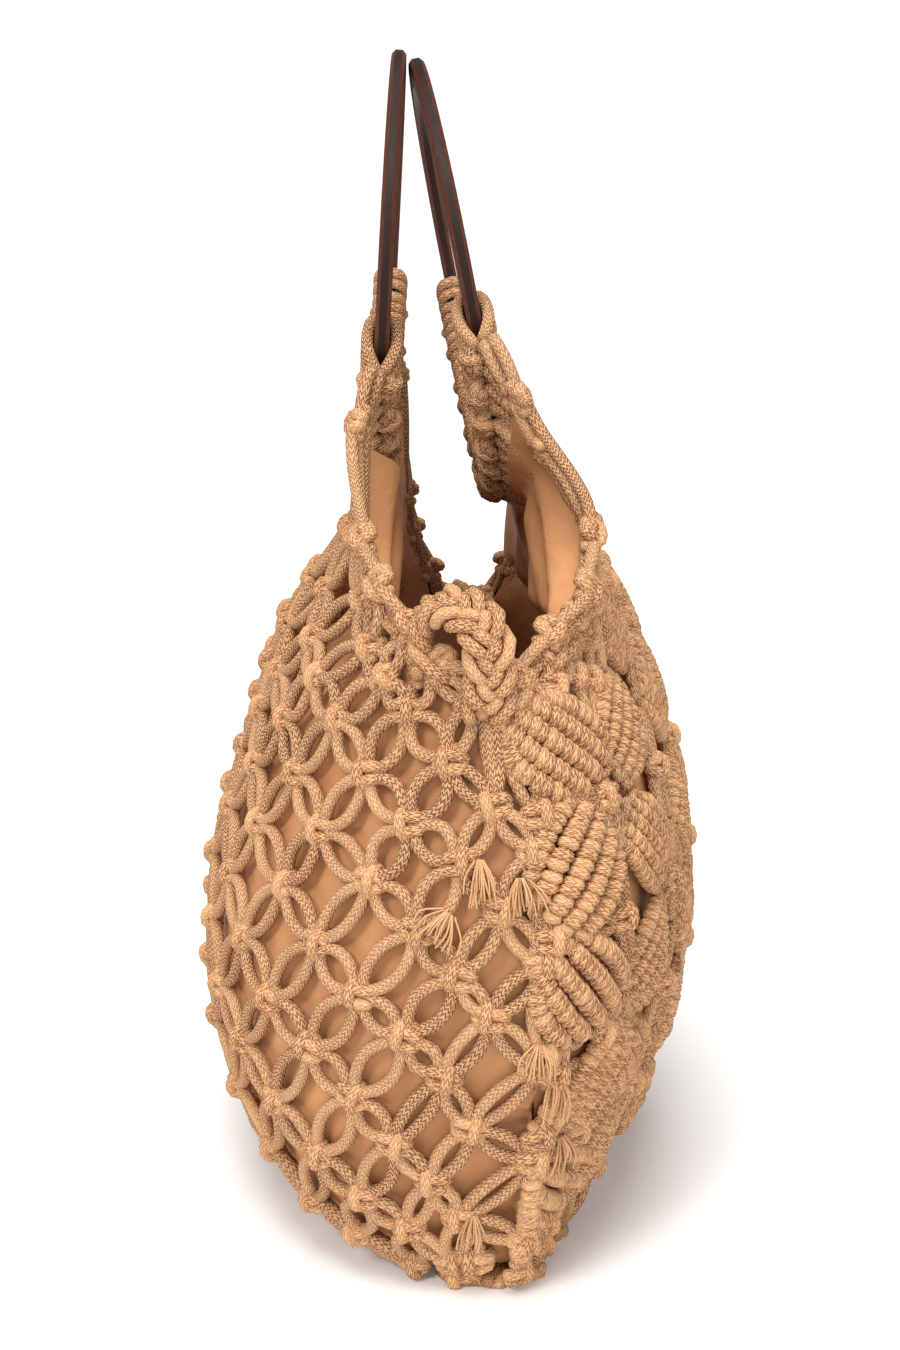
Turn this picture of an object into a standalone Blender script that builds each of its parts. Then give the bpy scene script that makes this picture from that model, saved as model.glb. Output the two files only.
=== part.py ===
"""A macrame cord handbag that stands by itself.

Two wooden ring handles carry two knotted panels: an open net at the back, and
leaves of ribbed cord at the front. The panels meet along the sides and the
bottom, a satin lining hangs inside them, and a braided loop stands at the low
point of each side opening.

Metres, +Z up. The leaf panel faces -Y and the net faces +Y. The origin is on
the floor, under the middle of the bag.
"""

from collections import namedtuple
import math

import bmesh
import bpy
from mathutils import Vector

for old_object in list(bpy.data.objects):
    bpy.data.objects.remove(old_object, do_unlink=True)

# The bag's body
HALF_WIDTH = 0.183
BACK_DEPTH = 0.1035
FRONT_DEPTH = 0.101
SHOULDER_HEIGHT = 0.2795
PANEL_WALL = 0.0042
SEAM_GAP = 0.0006
SHOULDER_FLATNESS = 0.35
EDGE_TURN = 0.25
EDGE_TURN_LENGTH = 0.045
EDGE_CUTS = 2
# How late the edges of a level line rise away from its middle
EDGE_RISE = 2.6

# The net of the back panel
NET_COLUMNS = 7
NET_ROWS = 13
NET_BAR = 0.0062

# The leaves of the front panel
LEAF_COLUMNS = 8
LEAF_ROWS = 5
LEAF_RELIEF = 0.0025
LEAF_SPACE = 0.006
# A panel is about this much longer across than its half width
PANEL_GIRTH = 1.2
RIB_END = 0.16

# The ring handles
RING_RADIUS = 0.085
RING_BREADTH = 0.012
RING_THICKNESS = 0.0056
RING_CHAMFER = 0.0012
RING_SEGMENTS = 36
RING_CONTACT_Y = 0.0165
RING_BACK_FOOT_Y = 0.0295
RING_FRONT_FOOT_Y = -0.0205

# The cord sleeves round the rings' lower arcs
SLEEVE_WALL = 0.0042
SLEEVE_LUMP = 0.0007
SLEEVE_CORNER = 0.55
SLEEVE_STATIONS = 28
BACK_SLEEVE_ENDS = (65.0, 86.0)
FRONT_SLEEVE_ENDS = (73.0, 84.0)
SLEEVE_LIP = 8.0

# The lining, the rims and the braided loops
LINING_WALL = 0.001
LINING_CLEARANCE = 0.0052
LINING_SEAM_SHIFT = 0.003
LINING_COLUMNS = 12
LINING_FLAP_SHARE = 0.75
RIM_RADIUS = 0.0042
RIM_CLEARANCE = 0.0018
RIM_STEPS = 12
RIM_FOOT = 0.07
RIM_REACH = 0.89
RIM_SPACING = 0.014
RIM_INSIDE = 0.8
SMALL_STEP = 0.002
LOOP_RADIUS = 0.0042
LOOP_SPACING = 0.006

# Touching pieces stay this far apart
CLEARANCE = 0.0003

# The body in sections, from the bottom seam up to the low point of the side
# openings. Widths are shares of HALF_WIDTH, depths of BACK_DEPTH or
# FRONT_DEPTH, and heights of SHOULDER_HEIGHT. The right end sits lower. A fall
# says how soon a panel drops away towards its ends: 1 is half an ellipse, less
# is boxier and more is sharper. Low down the net is full and the leaves slant.
Body = namedtuple("Body", "edge_x edge_y left_z right_z back_y front_y middle_z back_fall front_fall")
BODY_SECTIONS = (
    Body(0.760, -0.21, 0.000, 0.000, -0.21, -0.21, 0.000, 1.00, 1.00),
    Body(0.808, -0.21, 0.000, 0.000, 0.420, -0.53, 0.000, 0.60, 1.50),
    Body(0.845, -0.22, 0.025, 0.025, 0.630, -0.60, 0.025, 0.65, 1.80),
    Body(0.878, -0.24, 0.070, 0.070, 0.800, -0.72, 0.070, 0.65, 2.00),
    Body(0.912, -0.24, 0.135, 0.132, 0.895, -0.85, 0.135, 0.65, 1.90),
    Body(0.946, -0.25, 0.220, 0.212, 0.980, -0.93, 0.220, 0.70, 1.70),
    Body(0.978, -0.25, 0.320, 0.306, 1.015, -0.985, 0.320, 0.80, 1.40),
    Body(1.000, -0.25, 0.430, 0.405, 1.000, -1.00, 0.430, 0.90, 1.15),
    Body(0.995, -0.24, 0.535, 0.500, 0.940, -0.98, 0.535, 1.00, 1.00),
    Body(0.967, -0.21, 0.640, 0.590, 0.845, -0.93, 0.640, 1.00, 1.00),
    Body(0.935, -0.17, 0.725, 0.660, 0.775, -0.86, 0.725, 1.00, 1.00),
    Body(0.907, -0.13, 0.786, 0.712, 0.715, -0.79, 0.786, 1.00, 1.00),
)

# Above that point each panel narrows to its ring. The left and right ends of
# a section run along the rims of the side openings.
Shoulder = namedtuple("Shoulder", "left_x left_y left_z right_x right_y right_z middle_y middle_z")
BACK_SHOULDERS = (
    Shoulder(0.863, 0.09, 0.818, 0.850, 0.04, 0.760, 0.665, 0.829),
    Shoulder(0.790, 0.19, 0.857, 0.790, 0.09, 0.815, 0.580, 0.875),
    Shoulder(0.710, 0.28, 0.904, 0.710, 0.17, 0.890, 0.490, 0.918),
    Shoulder(0.600, 0.34, 0.961, 0.610, 0.20, 0.970, 0.425, 0.950),
    Shoulder(0.505, 0.36, 1.070, 0.530, 0.22, 1.110, 0.375, 0.978),
)
FRONT_SHOULDERS = (
    Shoulder(0.875, -0.23, 0.806, 0.850, -0.27, 0.760, -0.750, 0.825),
    Shoulder(0.800, -0.34, 0.850, 0.790, -0.36, 0.825, -0.690, 0.868),
    Shoulder(0.705, -0.475, 0.904, 0.700, -0.41, 0.895, -0.620, 0.911),
    Shoulder(0.585, -0.505, 0.985, 0.600, -0.40, 0.975, -0.545, 0.946),
    Shoulder(0.497, -0.30, 1.105, 0.520, -0.30, 1.110, -0.430, 0.975),
)

# The braided loops' middle lines, as steps from the low point of their rim.
# Each rises there, turns over towards the inside of the bag and comes down.
LEFT_LOOP_ROUTE = (
    (0.0010, -0.0010, 0.0113),
    (-0.0010, -0.0010, 0.0173),
    (-0.0010, 0.0010, 0.0243),
    (0.0020, 0.0055, 0.0303),
    (0.0070, 0.0100, 0.0323),
    (0.0130, 0.0135, 0.0303),
    (0.0185, 0.0145, 0.0243),
    (0.0225, 0.0130, 0.0173),
    (0.0240, 0.0105, 0.0103),
    (0.0235, 0.0075, 0.0033),
)
RIGHT_LOOP_ROUTE = (
    (-0.0035, 0.0005, 0.0162),
    (-0.0055, 0.0015, 0.0240),
    (-0.0090, 0.0025, 0.0285),
    (-0.0145, 0.0025, 0.0295),
    (-0.0200, 0.0010, 0.0260),
    (-0.0235, -0.0005, 0.0190),
    (-0.0260, -0.0015, 0.0100),
    (-0.0270, -0.0015, 0.0000),
)

collection = bpy.data.collections.new("macrame_handbag")
bpy.context.scene.collection.children.link(collection)


def make_material(name, colour, roughness):
    """One plain material for one piece."""
    material = bpy.data.materials.new(name)
    material.use_nodes = True
    shader = material.node_tree.nodes["Principled BSDF"]
    shader.inputs["Base Color"].default_value = (*colour, 1.0)
    shader.inputs["Roughness"].default_value = roughness
    shader.inputs["Metallic"].default_value = 0.0
    return material


def add_piece(name, mesh_builder, colour, roughness):
    """Turn a finished bmesh into a named object with its own material."""
    mesh = bpy.data.meshes.new(name)
    mesh_builder.to_mesh(mesh)
    mesh_builder.free()
    piece = bpy.data.objects.new(name, mesh)
    piece.data.materials.append(make_material(name, colour, roughness))
    collection.objects.link(piece)
    return piece


def face_outwards(shape):
    """Turn all faces of a closed shape the same way, outwards, and split them."""
    bmesh.ops.recalc_face_normals(shape, faces=shape.faces[:])
    if shape.calc_volume(signed=True) < 0:
        bmesh.ops.reverse_faces(shape, faces=shape.faces[:])
    bmesh.ops.triangulate(shape, faces=shape.faces[:])


CORD_COLOUR = (0.62, 0.36, 0.19)
SATIN_COLOUR = (0.45, 0.24, 0.12)
WOOD_COLOUR = (0.045, 0.012, 0.01)


# The rings' places. Both stand on their lowest point and lean together until
# their upper edges touch.
Ring = namedtuple("Ring", "side foot_y tilt centre down normal ends")
PANEL_TOP_CLEARANCE = 0.0022
PANEL_TOP_RADIUS = RING_RADIUS + CLEARANCE + SLEEVE_WALL + SLEEVE_LUMP + PANEL_TOP_CLEARANCE


def place_ring(side, foot_y, ends):
    """The centre, tilt and plane of one ring. side is +1 at the back."""
    top_y = RING_CONTACT_Y + side * (RING_THICKNESS + CLEARANCE) / 2
    tilt = math.asin((foot_y - top_y) / (2 * RING_RADIUS))
    down = Vector((0.0, math.sin(tilt), -math.cos(tilt)))
    normal = Vector((0.0, math.cos(tilt), math.sin(tilt))) * side
    centre_z = SHOULDER_HEIGHT + PANEL_TOP_RADIUS * math.cos(tilt)
    centre = Vector((0.0, (foot_y + top_y) / 2, centre_z))
    return Ring(side, foot_y, tilt, centre, down, normal, ends)


BACK_RING = place_ring(1, RING_BACK_FOOT_Y, BACK_SLEEVE_ENDS)
FRONT_RING = place_ring(-1, RING_FRONT_FOOT_Y, FRONT_SLEEVE_ENDS)


def on_ring(ring, radius, angle, lift):
    """A point at a radius and an angle from the ring's lowest point."""
    across = Vector((math.sin(angle), 0.0, 0.0)) * radius
    return ring.centre + across + ring.down * (math.cos(angle) * radius) + ring.normal * lift


def ring_angle(ring, across):
    """The angle on the sleeve for -1 at its left end and +1 at its right end."""
    end = ring.ends[0] if across < 0 else ring.ends[1]
    return math.radians(end) * across


# The panels' shape. A panel is read at across, from -1 at the left edge to +1
# at the right edge, and at the length of cloth from the bottom seam.


def even_angle(across):
    """Spread points evenly along a section that is wider than it is deep."""
    ease = 0.18
    return math.pi / 2 * (across - ease * math.sin(math.pi * across) / math.pi)


def section_point(across, left, right, middle, fall):
    """A point on one section: half an ellipse at a fall of 1, an arch at 2."""
    edge = left if across < 0 else right
    angle = even_angle(across)
    rise = abs(math.sin(angle)) ** EDGE_RISE
    x = abs(edge[0]) * math.sin(angle)
    y = edge[1] + (middle[1] - edge[1]) * max(math.cos(angle), 0.0) ** fall
    z = middle[2] + (edge[2] - middle[2]) * rise
    return Vector((x, y, z))


def panel_sections(ring):
    """The edges, the middle and the fall of every section of one panel."""
    back = ring.side > 0
    depth = BACK_DEPTH if back else FRONT_DEPTH
    sections = []
    for row in BODY_SECTIONS:
        edge_x = row.edge_x * HALF_WIDTH
        edge_y = row.edge_y * BACK_DEPTH + ring.side * SEAM_GAP / 2
        middle_y = (row.back_y if back else row.front_y) * depth
        if row is BODY_SECTIONS[0]:
            middle_y = edge_y
        left = (-edge_x, edge_y, row.left_z * SHOULDER_HEIGHT)
        right = (edge_x, edge_y, row.right_z * SHOULDER_HEIGHT)
        fall = row.back_fall if back else row.front_fall
        sections.append((left, right, (0.0, middle_y, row.middle_z * SHOULDER_HEIGHT), fall))
    for index, row in enumerate(BACK_SHOULDERS if back else FRONT_SHOULDERS):
        left = (-row.left_x * HALF_WIDTH, row.left_y * depth, row.left_z * SHOULDER_HEIGHT)
        right = (row.right_x * HALF_WIDTH, row.right_y * depth, row.right_z * SHOULDER_HEIGHT)
        fall = 1 + min((index + 1) * SHOULDER_FLATNESS, 1.0)
        sections.append((left, right, (0.0, row.middle_y * depth, row.middle_z * SHOULDER_HEIGHT), fall))
    top = [on_ring(ring, PANEL_TOP_RADIUS, ring_angle(ring, end), PANEL_WALL / 2) for end in (-1, 1, 0)]
    sections.append((*top, 1.0))
    return sections


def monotone_slopes(places, values):
    """Slopes of a smooth curve that never swings past its own points."""
    steps = [b - a for a, b in zip(places, places[1:])]
    secants = [(b - a) / step for a, b, step in zip(values, values[1:], steps)]
    slopes = [secants[0]]
    for before, after in zip(secants, secants[1:]):
        slopes.append(0.0 if before * after <= 0 else 2 * before * after / (before + after))
    slopes.append(secants[-1])
    return slopes


def curve_value(places, values, slopes, place):
    """Read that curve at one place."""
    last = len(places) - 2
    index = 0
    while index < last and place > places[index + 1]:
        index += 1
    step = places[index + 1] - places[index]
    share = (place - places[index]) / step
    near = (1 + 2 * share) * (1 - share) ** 2 * values[index]
    far = share ** 2 * (3 - 2 * share) * values[index + 1]
    lean = share * (1 - share) ** 2 * slopes[index] * step
    fall = share ** 2 * (share - 1) * slopes[index + 1] * step
    return near + far + lean + fall


class Panel:
    """The outer surface of one panel, smooth across and along its cloth."""

    def __init__(self, ring):
        self.ring = ring
        self.sections = panel_sections(ring)
        self.columns = {}
        self.places = [0.0]
        for lower, upper in zip(self.sections, self.sections[1:]):
            steps = [(Vector(high) - Vector(low)).length for low, high in zip(lower[:3], upper[:3])]
            self.places.append(self.places[-1] + sum(steps) / len(steps))
        self.length = self.places[-1]
        self.rim_start = self.places[len(BODY_SECTIONS) - 1]

    def column(self, across):
        """One line of cloth from the bottom seam to the ring."""
        key = round(across, 6)
        if key not in self.columns:
            points = [section_point(across, *section) for section in self.sections[:-1]]
            angle = ring_angle(self.ring, across)
            points.append(on_ring(self.ring, PANEL_TOP_RADIUS, angle, PANEL_WALL / 2))
            axes = [[point[axis] for point in points] for axis in range(3)]
            self.columns[key] = [(axis, monotone_slopes(self.places, axis)) for axis in axes]
        return self.columns[key]

    def point(self, across, along):
        """A point on the outer surface."""
        values = [curve_value(self.places, axis, slopes, along) for axis, slopes in self.column(across)]
        return Vector(values)

    def normal(self, across, along):
        """The outward direction there."""
        side_step = 0.01
        up_step = 0.002
        above_rim = max(along - self.rim_start, 0.0)
        limit = 1 - EDGE_TURN * min(above_rim / EDGE_TURN_LENGTH, 1.0)
        across = min(max(across, -limit), limit)
        near = max(across - side_step, -1.0)
        far = min(across + side_step, 1.0)
        low = max(along - up_step, 0.0)
        high = min(along + up_step, self.length)
        if along < self.places[1] - up_step:
            return Vector((0.0, 0.0, -1.0))
        sideways = self.point(far, along) - self.point(near, along)
        upwards = self.point(across, high) - self.point(across, low)
        outward = sideways.cross(upwards).normalized()
        outward = -outward * self.ring.side
        if abs(across) > 0.999 and along <= self.rim_start:
            outward.y = 0.0
            outward.normalize()
        return outward

    def at_depth(self, across, along, depth):
        """A point below the outer surface, on the panel's own side of the seam."""
        spot = self.point(across, along) - self.normal(across, along) * depth
        if along <= self.rim_start:
            seam = self.point(math.copysign(1.0, across), along).y
            spot.y = max(spot.y, seam) if self.ring.side > 0 else min(spot.y, seam)
        return spot


BACK_PANEL = Panel(BACK_RING)
FRONT_PANEL = Panel(FRONT_RING)


def is_free_edge(edge, panel):
    """An edge along a side opening or under the sleeve."""
    if not edge.is_boundary:
        return False
    first, second = edge.verts
    on_side = abs(first.co.x) > 0.999 and abs(second.co.x) > 0.999
    above = min(first.co.y, second.co.y) > panel.rim_start - 0.001
    on_top = min(first.co.y, second.co.y) > panel.length - 0.0001
    return on_top or (on_side and above)


def wall_from_layout(layout, panel, flip):
    """Give a flat layout of faces an outer skin, an inner skin and rims."""
    layout.normal_update()
    free_edges = [edge for edge in layout.edges if is_free_edge(edge, panel)]
    bmesh.ops.subdivide_edges(layout, edges=free_edges, cuts=EDGE_CUTS, use_only_quads=False)
    outer, inner = panel_skins(panel)
    wall = bmesh.new()
    layout.verts.index_update()
    outer_vertices = [wall.verts.new(outer(vertex.co)) for vertex in layout.verts]
    inner_vertices = [wall.verts.new(inner(vertex.co)) for vertex in layout.verts]
    for face in layout.faces:
        corners = [vertex.index for vertex in face.verts]
        if flip:
            corners.reverse()
        wall.faces.new([outer_vertices[index] for index in corners])
        wall.faces.new([inner_vertices[index] for index in reversed(corners)])
    for edge in layout.edges:
        if edge.is_boundary:
            loop = edge.link_loops[0]
            start = loop.vert.index
            end = loop.link_loop_next.vert.index
            if flip:
                start, end = end, start
            rim = (outer_vertices[end], outer_vertices[start], inner_vertices[start], inner_vertices[end])
            wall.faces.new(rim)
    layout.free()
    bmesh.ops.triangulate(wall, faces=wall.faces[:])
    return wall


def layout_vertex(layout, known, across, along, relief):
    """A vertex of the flat layout, shared by the faces that meet there."""
    key = (round(across, 5), round(along, 6))
    if key not in known:
        known[key] = layout.verts.new((across, along, relief))
    return known[key]


def layout_face(layout, known, corners):
    """A face of the flat layout, from (across, along, relief) corners."""
    vertices = []
    for corner in corners:
        vertex = layout_vertex(layout, known, *corner)
        if vertex not in vertices:
            vertices.append(vertex)
    if len(vertices) > 2:
        layout.faces.new(vertices)


def panel_skins(panel):
    """The two surfaces of a panel's wall, for points of its flat layout."""

    def outer(spot):
        return panel.at_depth(spot.x, spot.y, -spot.z)

    def inner(spot):
        return panel.at_depth(spot.x, spot.y, PANEL_WALL)

    return outer, inner


def is_open_cell(face, panel, edge):
    """A cell above the base: a whole diamond, or half of one at a side seam."""
    lowest = min(vertex.co.y for vertex in face.verts)
    highest = max(vertex.co.y for vertex in face.verts)
    on_side = [vertex for vertex in face.verts if abs(vertex.co.x) > edge - 1e-6]
    base_end = panel.places[2]
    if len(on_side) > 1:
        return lowest > base_end + 1e-6 and highest < panel.rim_start
    return len(face.verts) == 4 and lowest > base_end - 1e-6


def build_net_back():
    """The back panel: a net of crossing bars above a closed base."""
    panel = BACK_PANEL
    layout = bmesh.new()
    known = {}
    base_end = panel.places[2]
    row_height = (panel.length - base_end) / NET_ROWS
    half_cell = 1.0 / NET_COLUMNS
    mesh_scale = HALF_WIDTH * 1.3
    for step in range(2 * NET_COLUMNS):
        left = -1 + step * half_cell
        right = left + half_cell
        for low, high in zip(panel.places[:2], panel.places[1:3]):
            corners = ((left, low, 0), (right, low, 0), (right, high, 0), (left, high, 0))
            layout_face(layout, known, corners)
    for row in range(NET_ROWS):
        middle = base_end + row * row_height
        low = max(middle - row_height, base_end)
        high = middle + row_height
        for step in range(row % 2, 2 * NET_COLUMNS + 1, 2):
            centre = -1 + step * half_cell
            left = max(centre - half_cell, -1.0)
            right = min(centre + half_cell, 1.0)
            corners = ((left, middle, 0), (centre, low, 0), (right, middle, 0), (centre, high, 0))
            layout_face(layout, known, corners)
    top = panel.length
    last = top - row_height
    for step in range(NET_ROWS % 2, 2 * NET_COLUMNS + 1, 2):
        centre = -1 + step * half_cell
        left = max(centre - half_cell, -1.0)
        right = min(centre + half_cell, 1.0)
        layout_face(layout, known, ((left, top, 0), (centre, last, 0), (right, top, 0)))
    for vertex in layout.verts:
        vertex.co.x *= mesh_scale
    layout.normal_update()
    cells = [face for face in layout.faces if is_open_cell(face, panel, mesh_scale)]
    bmesh.ops.inset_individual(layout, faces=cells, thickness=NET_BAR / 2, use_even_offset=True)
    bmesh.ops.delete(layout, geom=cells, context="FACES")
    for vertex in layout.verts:
        vertex.co.x /= mesh_scale
    wall = wall_from_layout(layout, panel, True)
    return add_piece("net_back", wall, CORD_COLOUR, 0.85)


def leaf_faces(layout, known, left, right, low, high, rising):
    """One leaf: four ribs that cross its square from corner to corner."""

    def spot(x, y, relief):
        x = x if rising else 1 - x
        return (left + (right - left) * x, low + (high - low) * y, relief)

    def line_ends(shift):
        if shift >= 0:
            return (0.0, shift), (1.0 - shift, 1.0)
        return (-shift, 0.0), (1.0, 1.0 + shift)

    for crest in (-0.75, -0.25, 0.25, 0.75):
        start, end = line_ends(crest)
        first = [a + (b - a) * RIB_END for a, b in zip(start, end)]
        second = [a + (b - a) * (1 - RIB_END) for a, b in zip(start, end)]
        crest_start = spot(*start, 0.0)
        crest_end = spot(*end, 0.0)
        crest_first = spot(*first, LEAF_RELIEF)
        crest_second = spot(*second, LEAF_RELIEF)
        for side in (-0.25, 0.25):
            valley_start, valley_end = line_ends(crest + side)
            foot_start = spot(*valley_start, 0.0)
            foot_end = spot(*valley_end, 0.0)
            faces = [
                (foot_start, crest_first, crest_start),
                (foot_start, foot_end, crest_second, crest_first),
                (foot_end, crest_end, crest_second),
            ]
            turned = (side > 0) == rising
            for corners in faces:
                layout_face(layout, known, corners[::-1] if turned else corners)


def build_leaf_front():
    """The front panel: ribbed leaves in columns, with open slits between."""
    panel = FRONT_PANEL
    layout = bmesh.new()
    known = {}
    column_space = LEAF_SPACE / (HALF_WIDTH * PANEL_GIRTH)
    leaf_start = panel.places[2]
    leaf_height = (panel.rim_start - leaf_start) / LEAF_ROWS
    pitch = 2.0 / LEAF_COLUMNS
    quarters = [index / 4 for index in range(5)]
    lines = []
    for column in range(LEAF_COLUMNS):
        left = -1 + column * pitch + (column_space / 2 if column else 0)
        right = -1 + (column + 1) * pitch - (column_space / 2 if column < LEAF_COLUMNS - 1 else 0)
        lines.append([left + (right - left) * quarter for quarter in quarters])
        for row in range(LEAF_ROWS):
            low = leaf_start + row * leaf_height
            leaf_faces(layout, known, left, right, low, low + leaf_height, (column + row) % 2 == 0)
    for before, after in zip(lines, lines[1:]):
        for row in range(LEAF_ROWS):
            for index in range(4):
                if index in (1, 2) and row:
                    continue
                low = leaf_start + (row + quarters[index]) * leaf_height
                high = leaf_start + (row + quarters[index + 1]) * leaf_height
                left = before[-1]
                right = after[0]
                corners = ((left, low, 0), (right, low, 0), (right, high, 0), (left, high, 0))
                layout_face(layout, known, corners)
    across_lines = [place for line in lines for place in line]
    foot_lines = [0.0, panel.places[1], leaf_start]
    for low, high in zip(foot_lines, foot_lines[1:]):
        for left, right in zip(across_lines, across_lines[1:]):
            corners = ((left, low, 0), (right, low, 0), (right, high, 0), (left, high, 0))
            layout_face(layout, known, corners)
    top_lines = panel.places[len(BODY_SECTIONS) - 1:]
    column_lines = [line[index] for line in lines for index in (0, -1)]
    for low, high in zip(top_lines, top_lines[1:]):
        for left, right in zip(column_lines, column_lines[1:]):
            corners = [(left, low, 0), (right, low, 0), (right, high, 0), (left, high, 0)]
            if low == panel.rim_start:
                inside = [(place, low, 0) for place in across_lines if left < place < right]
                corners[1:1] = inside
            layout_face(layout, known, corners)
    wall = wall_from_layout(layout, panel, False)
    return add_piece("leaf_front", wall, CORD_COLOUR, 0.85)


def build_lining():
    """The lining: a thin pouch inside both panels, open along the top."""
    depth = PANEL_WALL + LINING_CLEARANCE
    pouch = bmesh.new()
    skins = []
    body_rows = len(BODY_SECTIONS) - 1
    steps = [-1 + 2 * index / LINING_COLUMNS for index in range(LINING_COLUMNS + 1)]
    for skin_depth in (depth, depth + LINING_WALL):
        shared = {}
        panels = []
        for panel in (BACK_PANEL, FRONT_PANEL):
            rows = panel.places[:body_rows] + panel.places[body_rows + 1:-2:2]
            grid = []
            for row_index, along in enumerate(rows):
                line = []
                for column, across in enumerate(steps):
                    on_seam = row_index == 0 or (row_index < body_rows and column in (0, LINING_COLUMNS))
                    key = (row_index, column)
                    if on_seam and key in shared:
                        line.append(shared[key])
                        continue
                    reach = across if row_index < body_rows else across * LINING_FLAP_SHARE
                    spot = panel.at_depth(reach, along, skin_depth)
                    if on_seam:
                        spot.y += LINING_SEAM_SHIFT
                    vertex = pouch.verts.new(spot)
                    if on_seam:
                        shared[key] = vertex
                    line.append(vertex)
                grid.append(line)
            panels.append(grid)
        skins.append(panels)
    for skin, outward in zip(skins, (True, False)):
        for grid, back in zip(skin, (True, False)):
            for lower, upper in zip(grid, grid[1:]):
                for index in range(LINING_COLUMNS):
                    face = [lower[index], lower[index + 1], upper[index + 1], upper[index]]
                    if back == outward:
                        face.reverse()
                    pouch.faces.new(face)
    open_edges = [edge for edge in pouch.edges if edge.is_boundary]
    bmesh.ops.bridge_loops(pouch, edges=open_edges)
    face_outwards(pouch)
    return add_piece("lining", pouch, SATIN_COLOUR, 0.45)


def build_ring(name, ring):
    """A flat wooden ring: its chamfered section turned once round."""
    profile = bpy.data.meshes.new(name)
    half = RING_THICKNESS / 2
    inner = RING_RADIUS - RING_BREADTH
    outline = (
        (inner, RING_CHAMFER - half),
        (inner + RING_CHAMFER, -half),
        (RING_RADIUS - RING_CHAMFER, -half),
        (RING_RADIUS, RING_CHAMFER - half),
        (RING_RADIUS, half - RING_CHAMFER),
        (RING_RADIUS - RING_CHAMFER, half),
        (inner + RING_CHAMFER, half),
        (inner, half - RING_CHAMFER),
    )
    section = bmesh.new()
    corners = [section.verts.new((radius, lift, 0.0)) for radius, lift in outline]
    for first, second in zip(corners, corners[1:] + corners[:1]):
        section.edges.new((first, second))
    section.to_mesh(profile)
    section.free()
    piece = bpy.data.objects.new(name, profile)
    piece.data.materials.append(make_material(name, WOOD_COLOUR, 0.25))
    turn = piece.modifiers.new("turn", "SCREW")
    turn.axis = "Y"
    turn.steps = RING_SEGMENTS
    turn.render_steps = RING_SEGMENTS
    turn.use_merge_vertices = True
    turn.merge_threshold = 0.00001
    turn.use_normal_flip = True
    piece.location = ring.centre
    piece.rotation_euler.x = ring.tilt
    collection.objects.link(piece)
    return piece


def build_sleeve(name, ring):
    """The cords round a ring's lower arc: a lumpy tube that the ring runs through."""
    sleeve = bmesh.new()
    inner = RING_RADIUS - RING_BREADTH
    hole_half = RING_THICKNESS / 2 + CLEARANCE
    skin_half = hole_half + SLEEVE_WALL
    hole = (
        (inner - CLEARANCE, -hole_half),
        (RING_RADIUS + CLEARANCE, -hole_half),
        (RING_RADIUS + CLEARANCE, hole_half),
        (inner - CLEARANCE, hole_half),
    )
    low = inner - CLEARANCE - SLEEVE_WALL
    high = RING_RADIUS + CLEARANCE + SLEEVE_WALL
    corner = SLEEVE_WALL * SLEEVE_CORNER
    skin = (
        (low, -skin_half + corner),
        (low + corner, -skin_half),
        (high - corner, -skin_half),
        (high, -skin_half + corner),
        (high, skin_half - corner),
        (high - corner, skin_half),
        (low + corner, skin_half),
        (low, skin_half - corner),
    )
    middle = (low + high) / 2
    lip = math.radians(SLEEVE_LIP) / (high - low)
    skin_rings = []
    hole_rings = []
    for station in range(SLEEVE_STATIONS + 1):
        across = -1 + 2 * station / SLEEVE_STATIONS
        angle = ring_angle(ring, across)
        lean = lip * across * abs(across)
        lump = SLEEVE_LUMP if station % 2 else 0.0
        skin_ring = []
        for radius, lift in skin:
            away = math.copysign(lump, radius - middle)
            outward = math.copysign(lump, lift)
            turn = angle + lean * (high - radius)
            skin_ring.append(sleeve.verts.new(on_ring(ring, radius + away, turn, lift + outward)))
        skin_rings.append(skin_ring)
        hole_ring = []
        for radius, lift in hole:
            turn = angle + lean * (high - radius)
            hole_ring.append(sleeve.verts.new(on_ring(ring, radius, turn, lift)))
        hole_rings.append(hole_ring)
    for rings in (skin_rings, hole_rings):
        for before, after in zip(rings, rings[1:]):
            for index in range(len(before)):
                follow = (index + 1) % len(before)
                sleeve.faces.new((before[index], before[follow], after[follow], after[index]))
    for end in (0, -1):
        for index, corner_vertex in enumerate(hole_rings[end]):
            first = skin_rings[end][2 * index]
            second = skin_rings[end][2 * index + 1]
            third = skin_rings[end][(2 * index + 2) % len(skin)]
            next_vertex = hole_rings[end][(index + 1) % len(hole)]
            sleeve.faces.new((corner_vertex, first, second))
            sleeve.faces.new((corner_vertex, second, third, next_vertex))
    face_outwards(sleeve)
    return add_piece(name, sleeve, CORD_COLOUR, 0.85)


def rim_edge_line(panel, side):
    """The middle of a panel's edge along a side opening, moved clear of it."""
    points = []
    reach = RIM_RADIUS + RIM_CLEARANCE
    stretch = panel.length - panel.rim_start
    for step in range(RIM_STEPS):
        share = RIM_FOOT + RIM_REACH * step / (RIM_STEPS - 1)
        along = panel.rim_start + share * stretch
        edge = panel.at_depth(side, along, PANEL_WALL / 2)
        ahead = panel.at_depth(side, along + SMALL_STEP, PANEL_WALL / 2)
        outward = (ahead - edge).cross(panel.normal(side, along)).normalized()
        if outward.dot(panel.point(side * RIM_INSIDE, along) - edge) > 0:
            outward = -outward
        points.append(edge + outward * reach)
    return points


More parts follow.
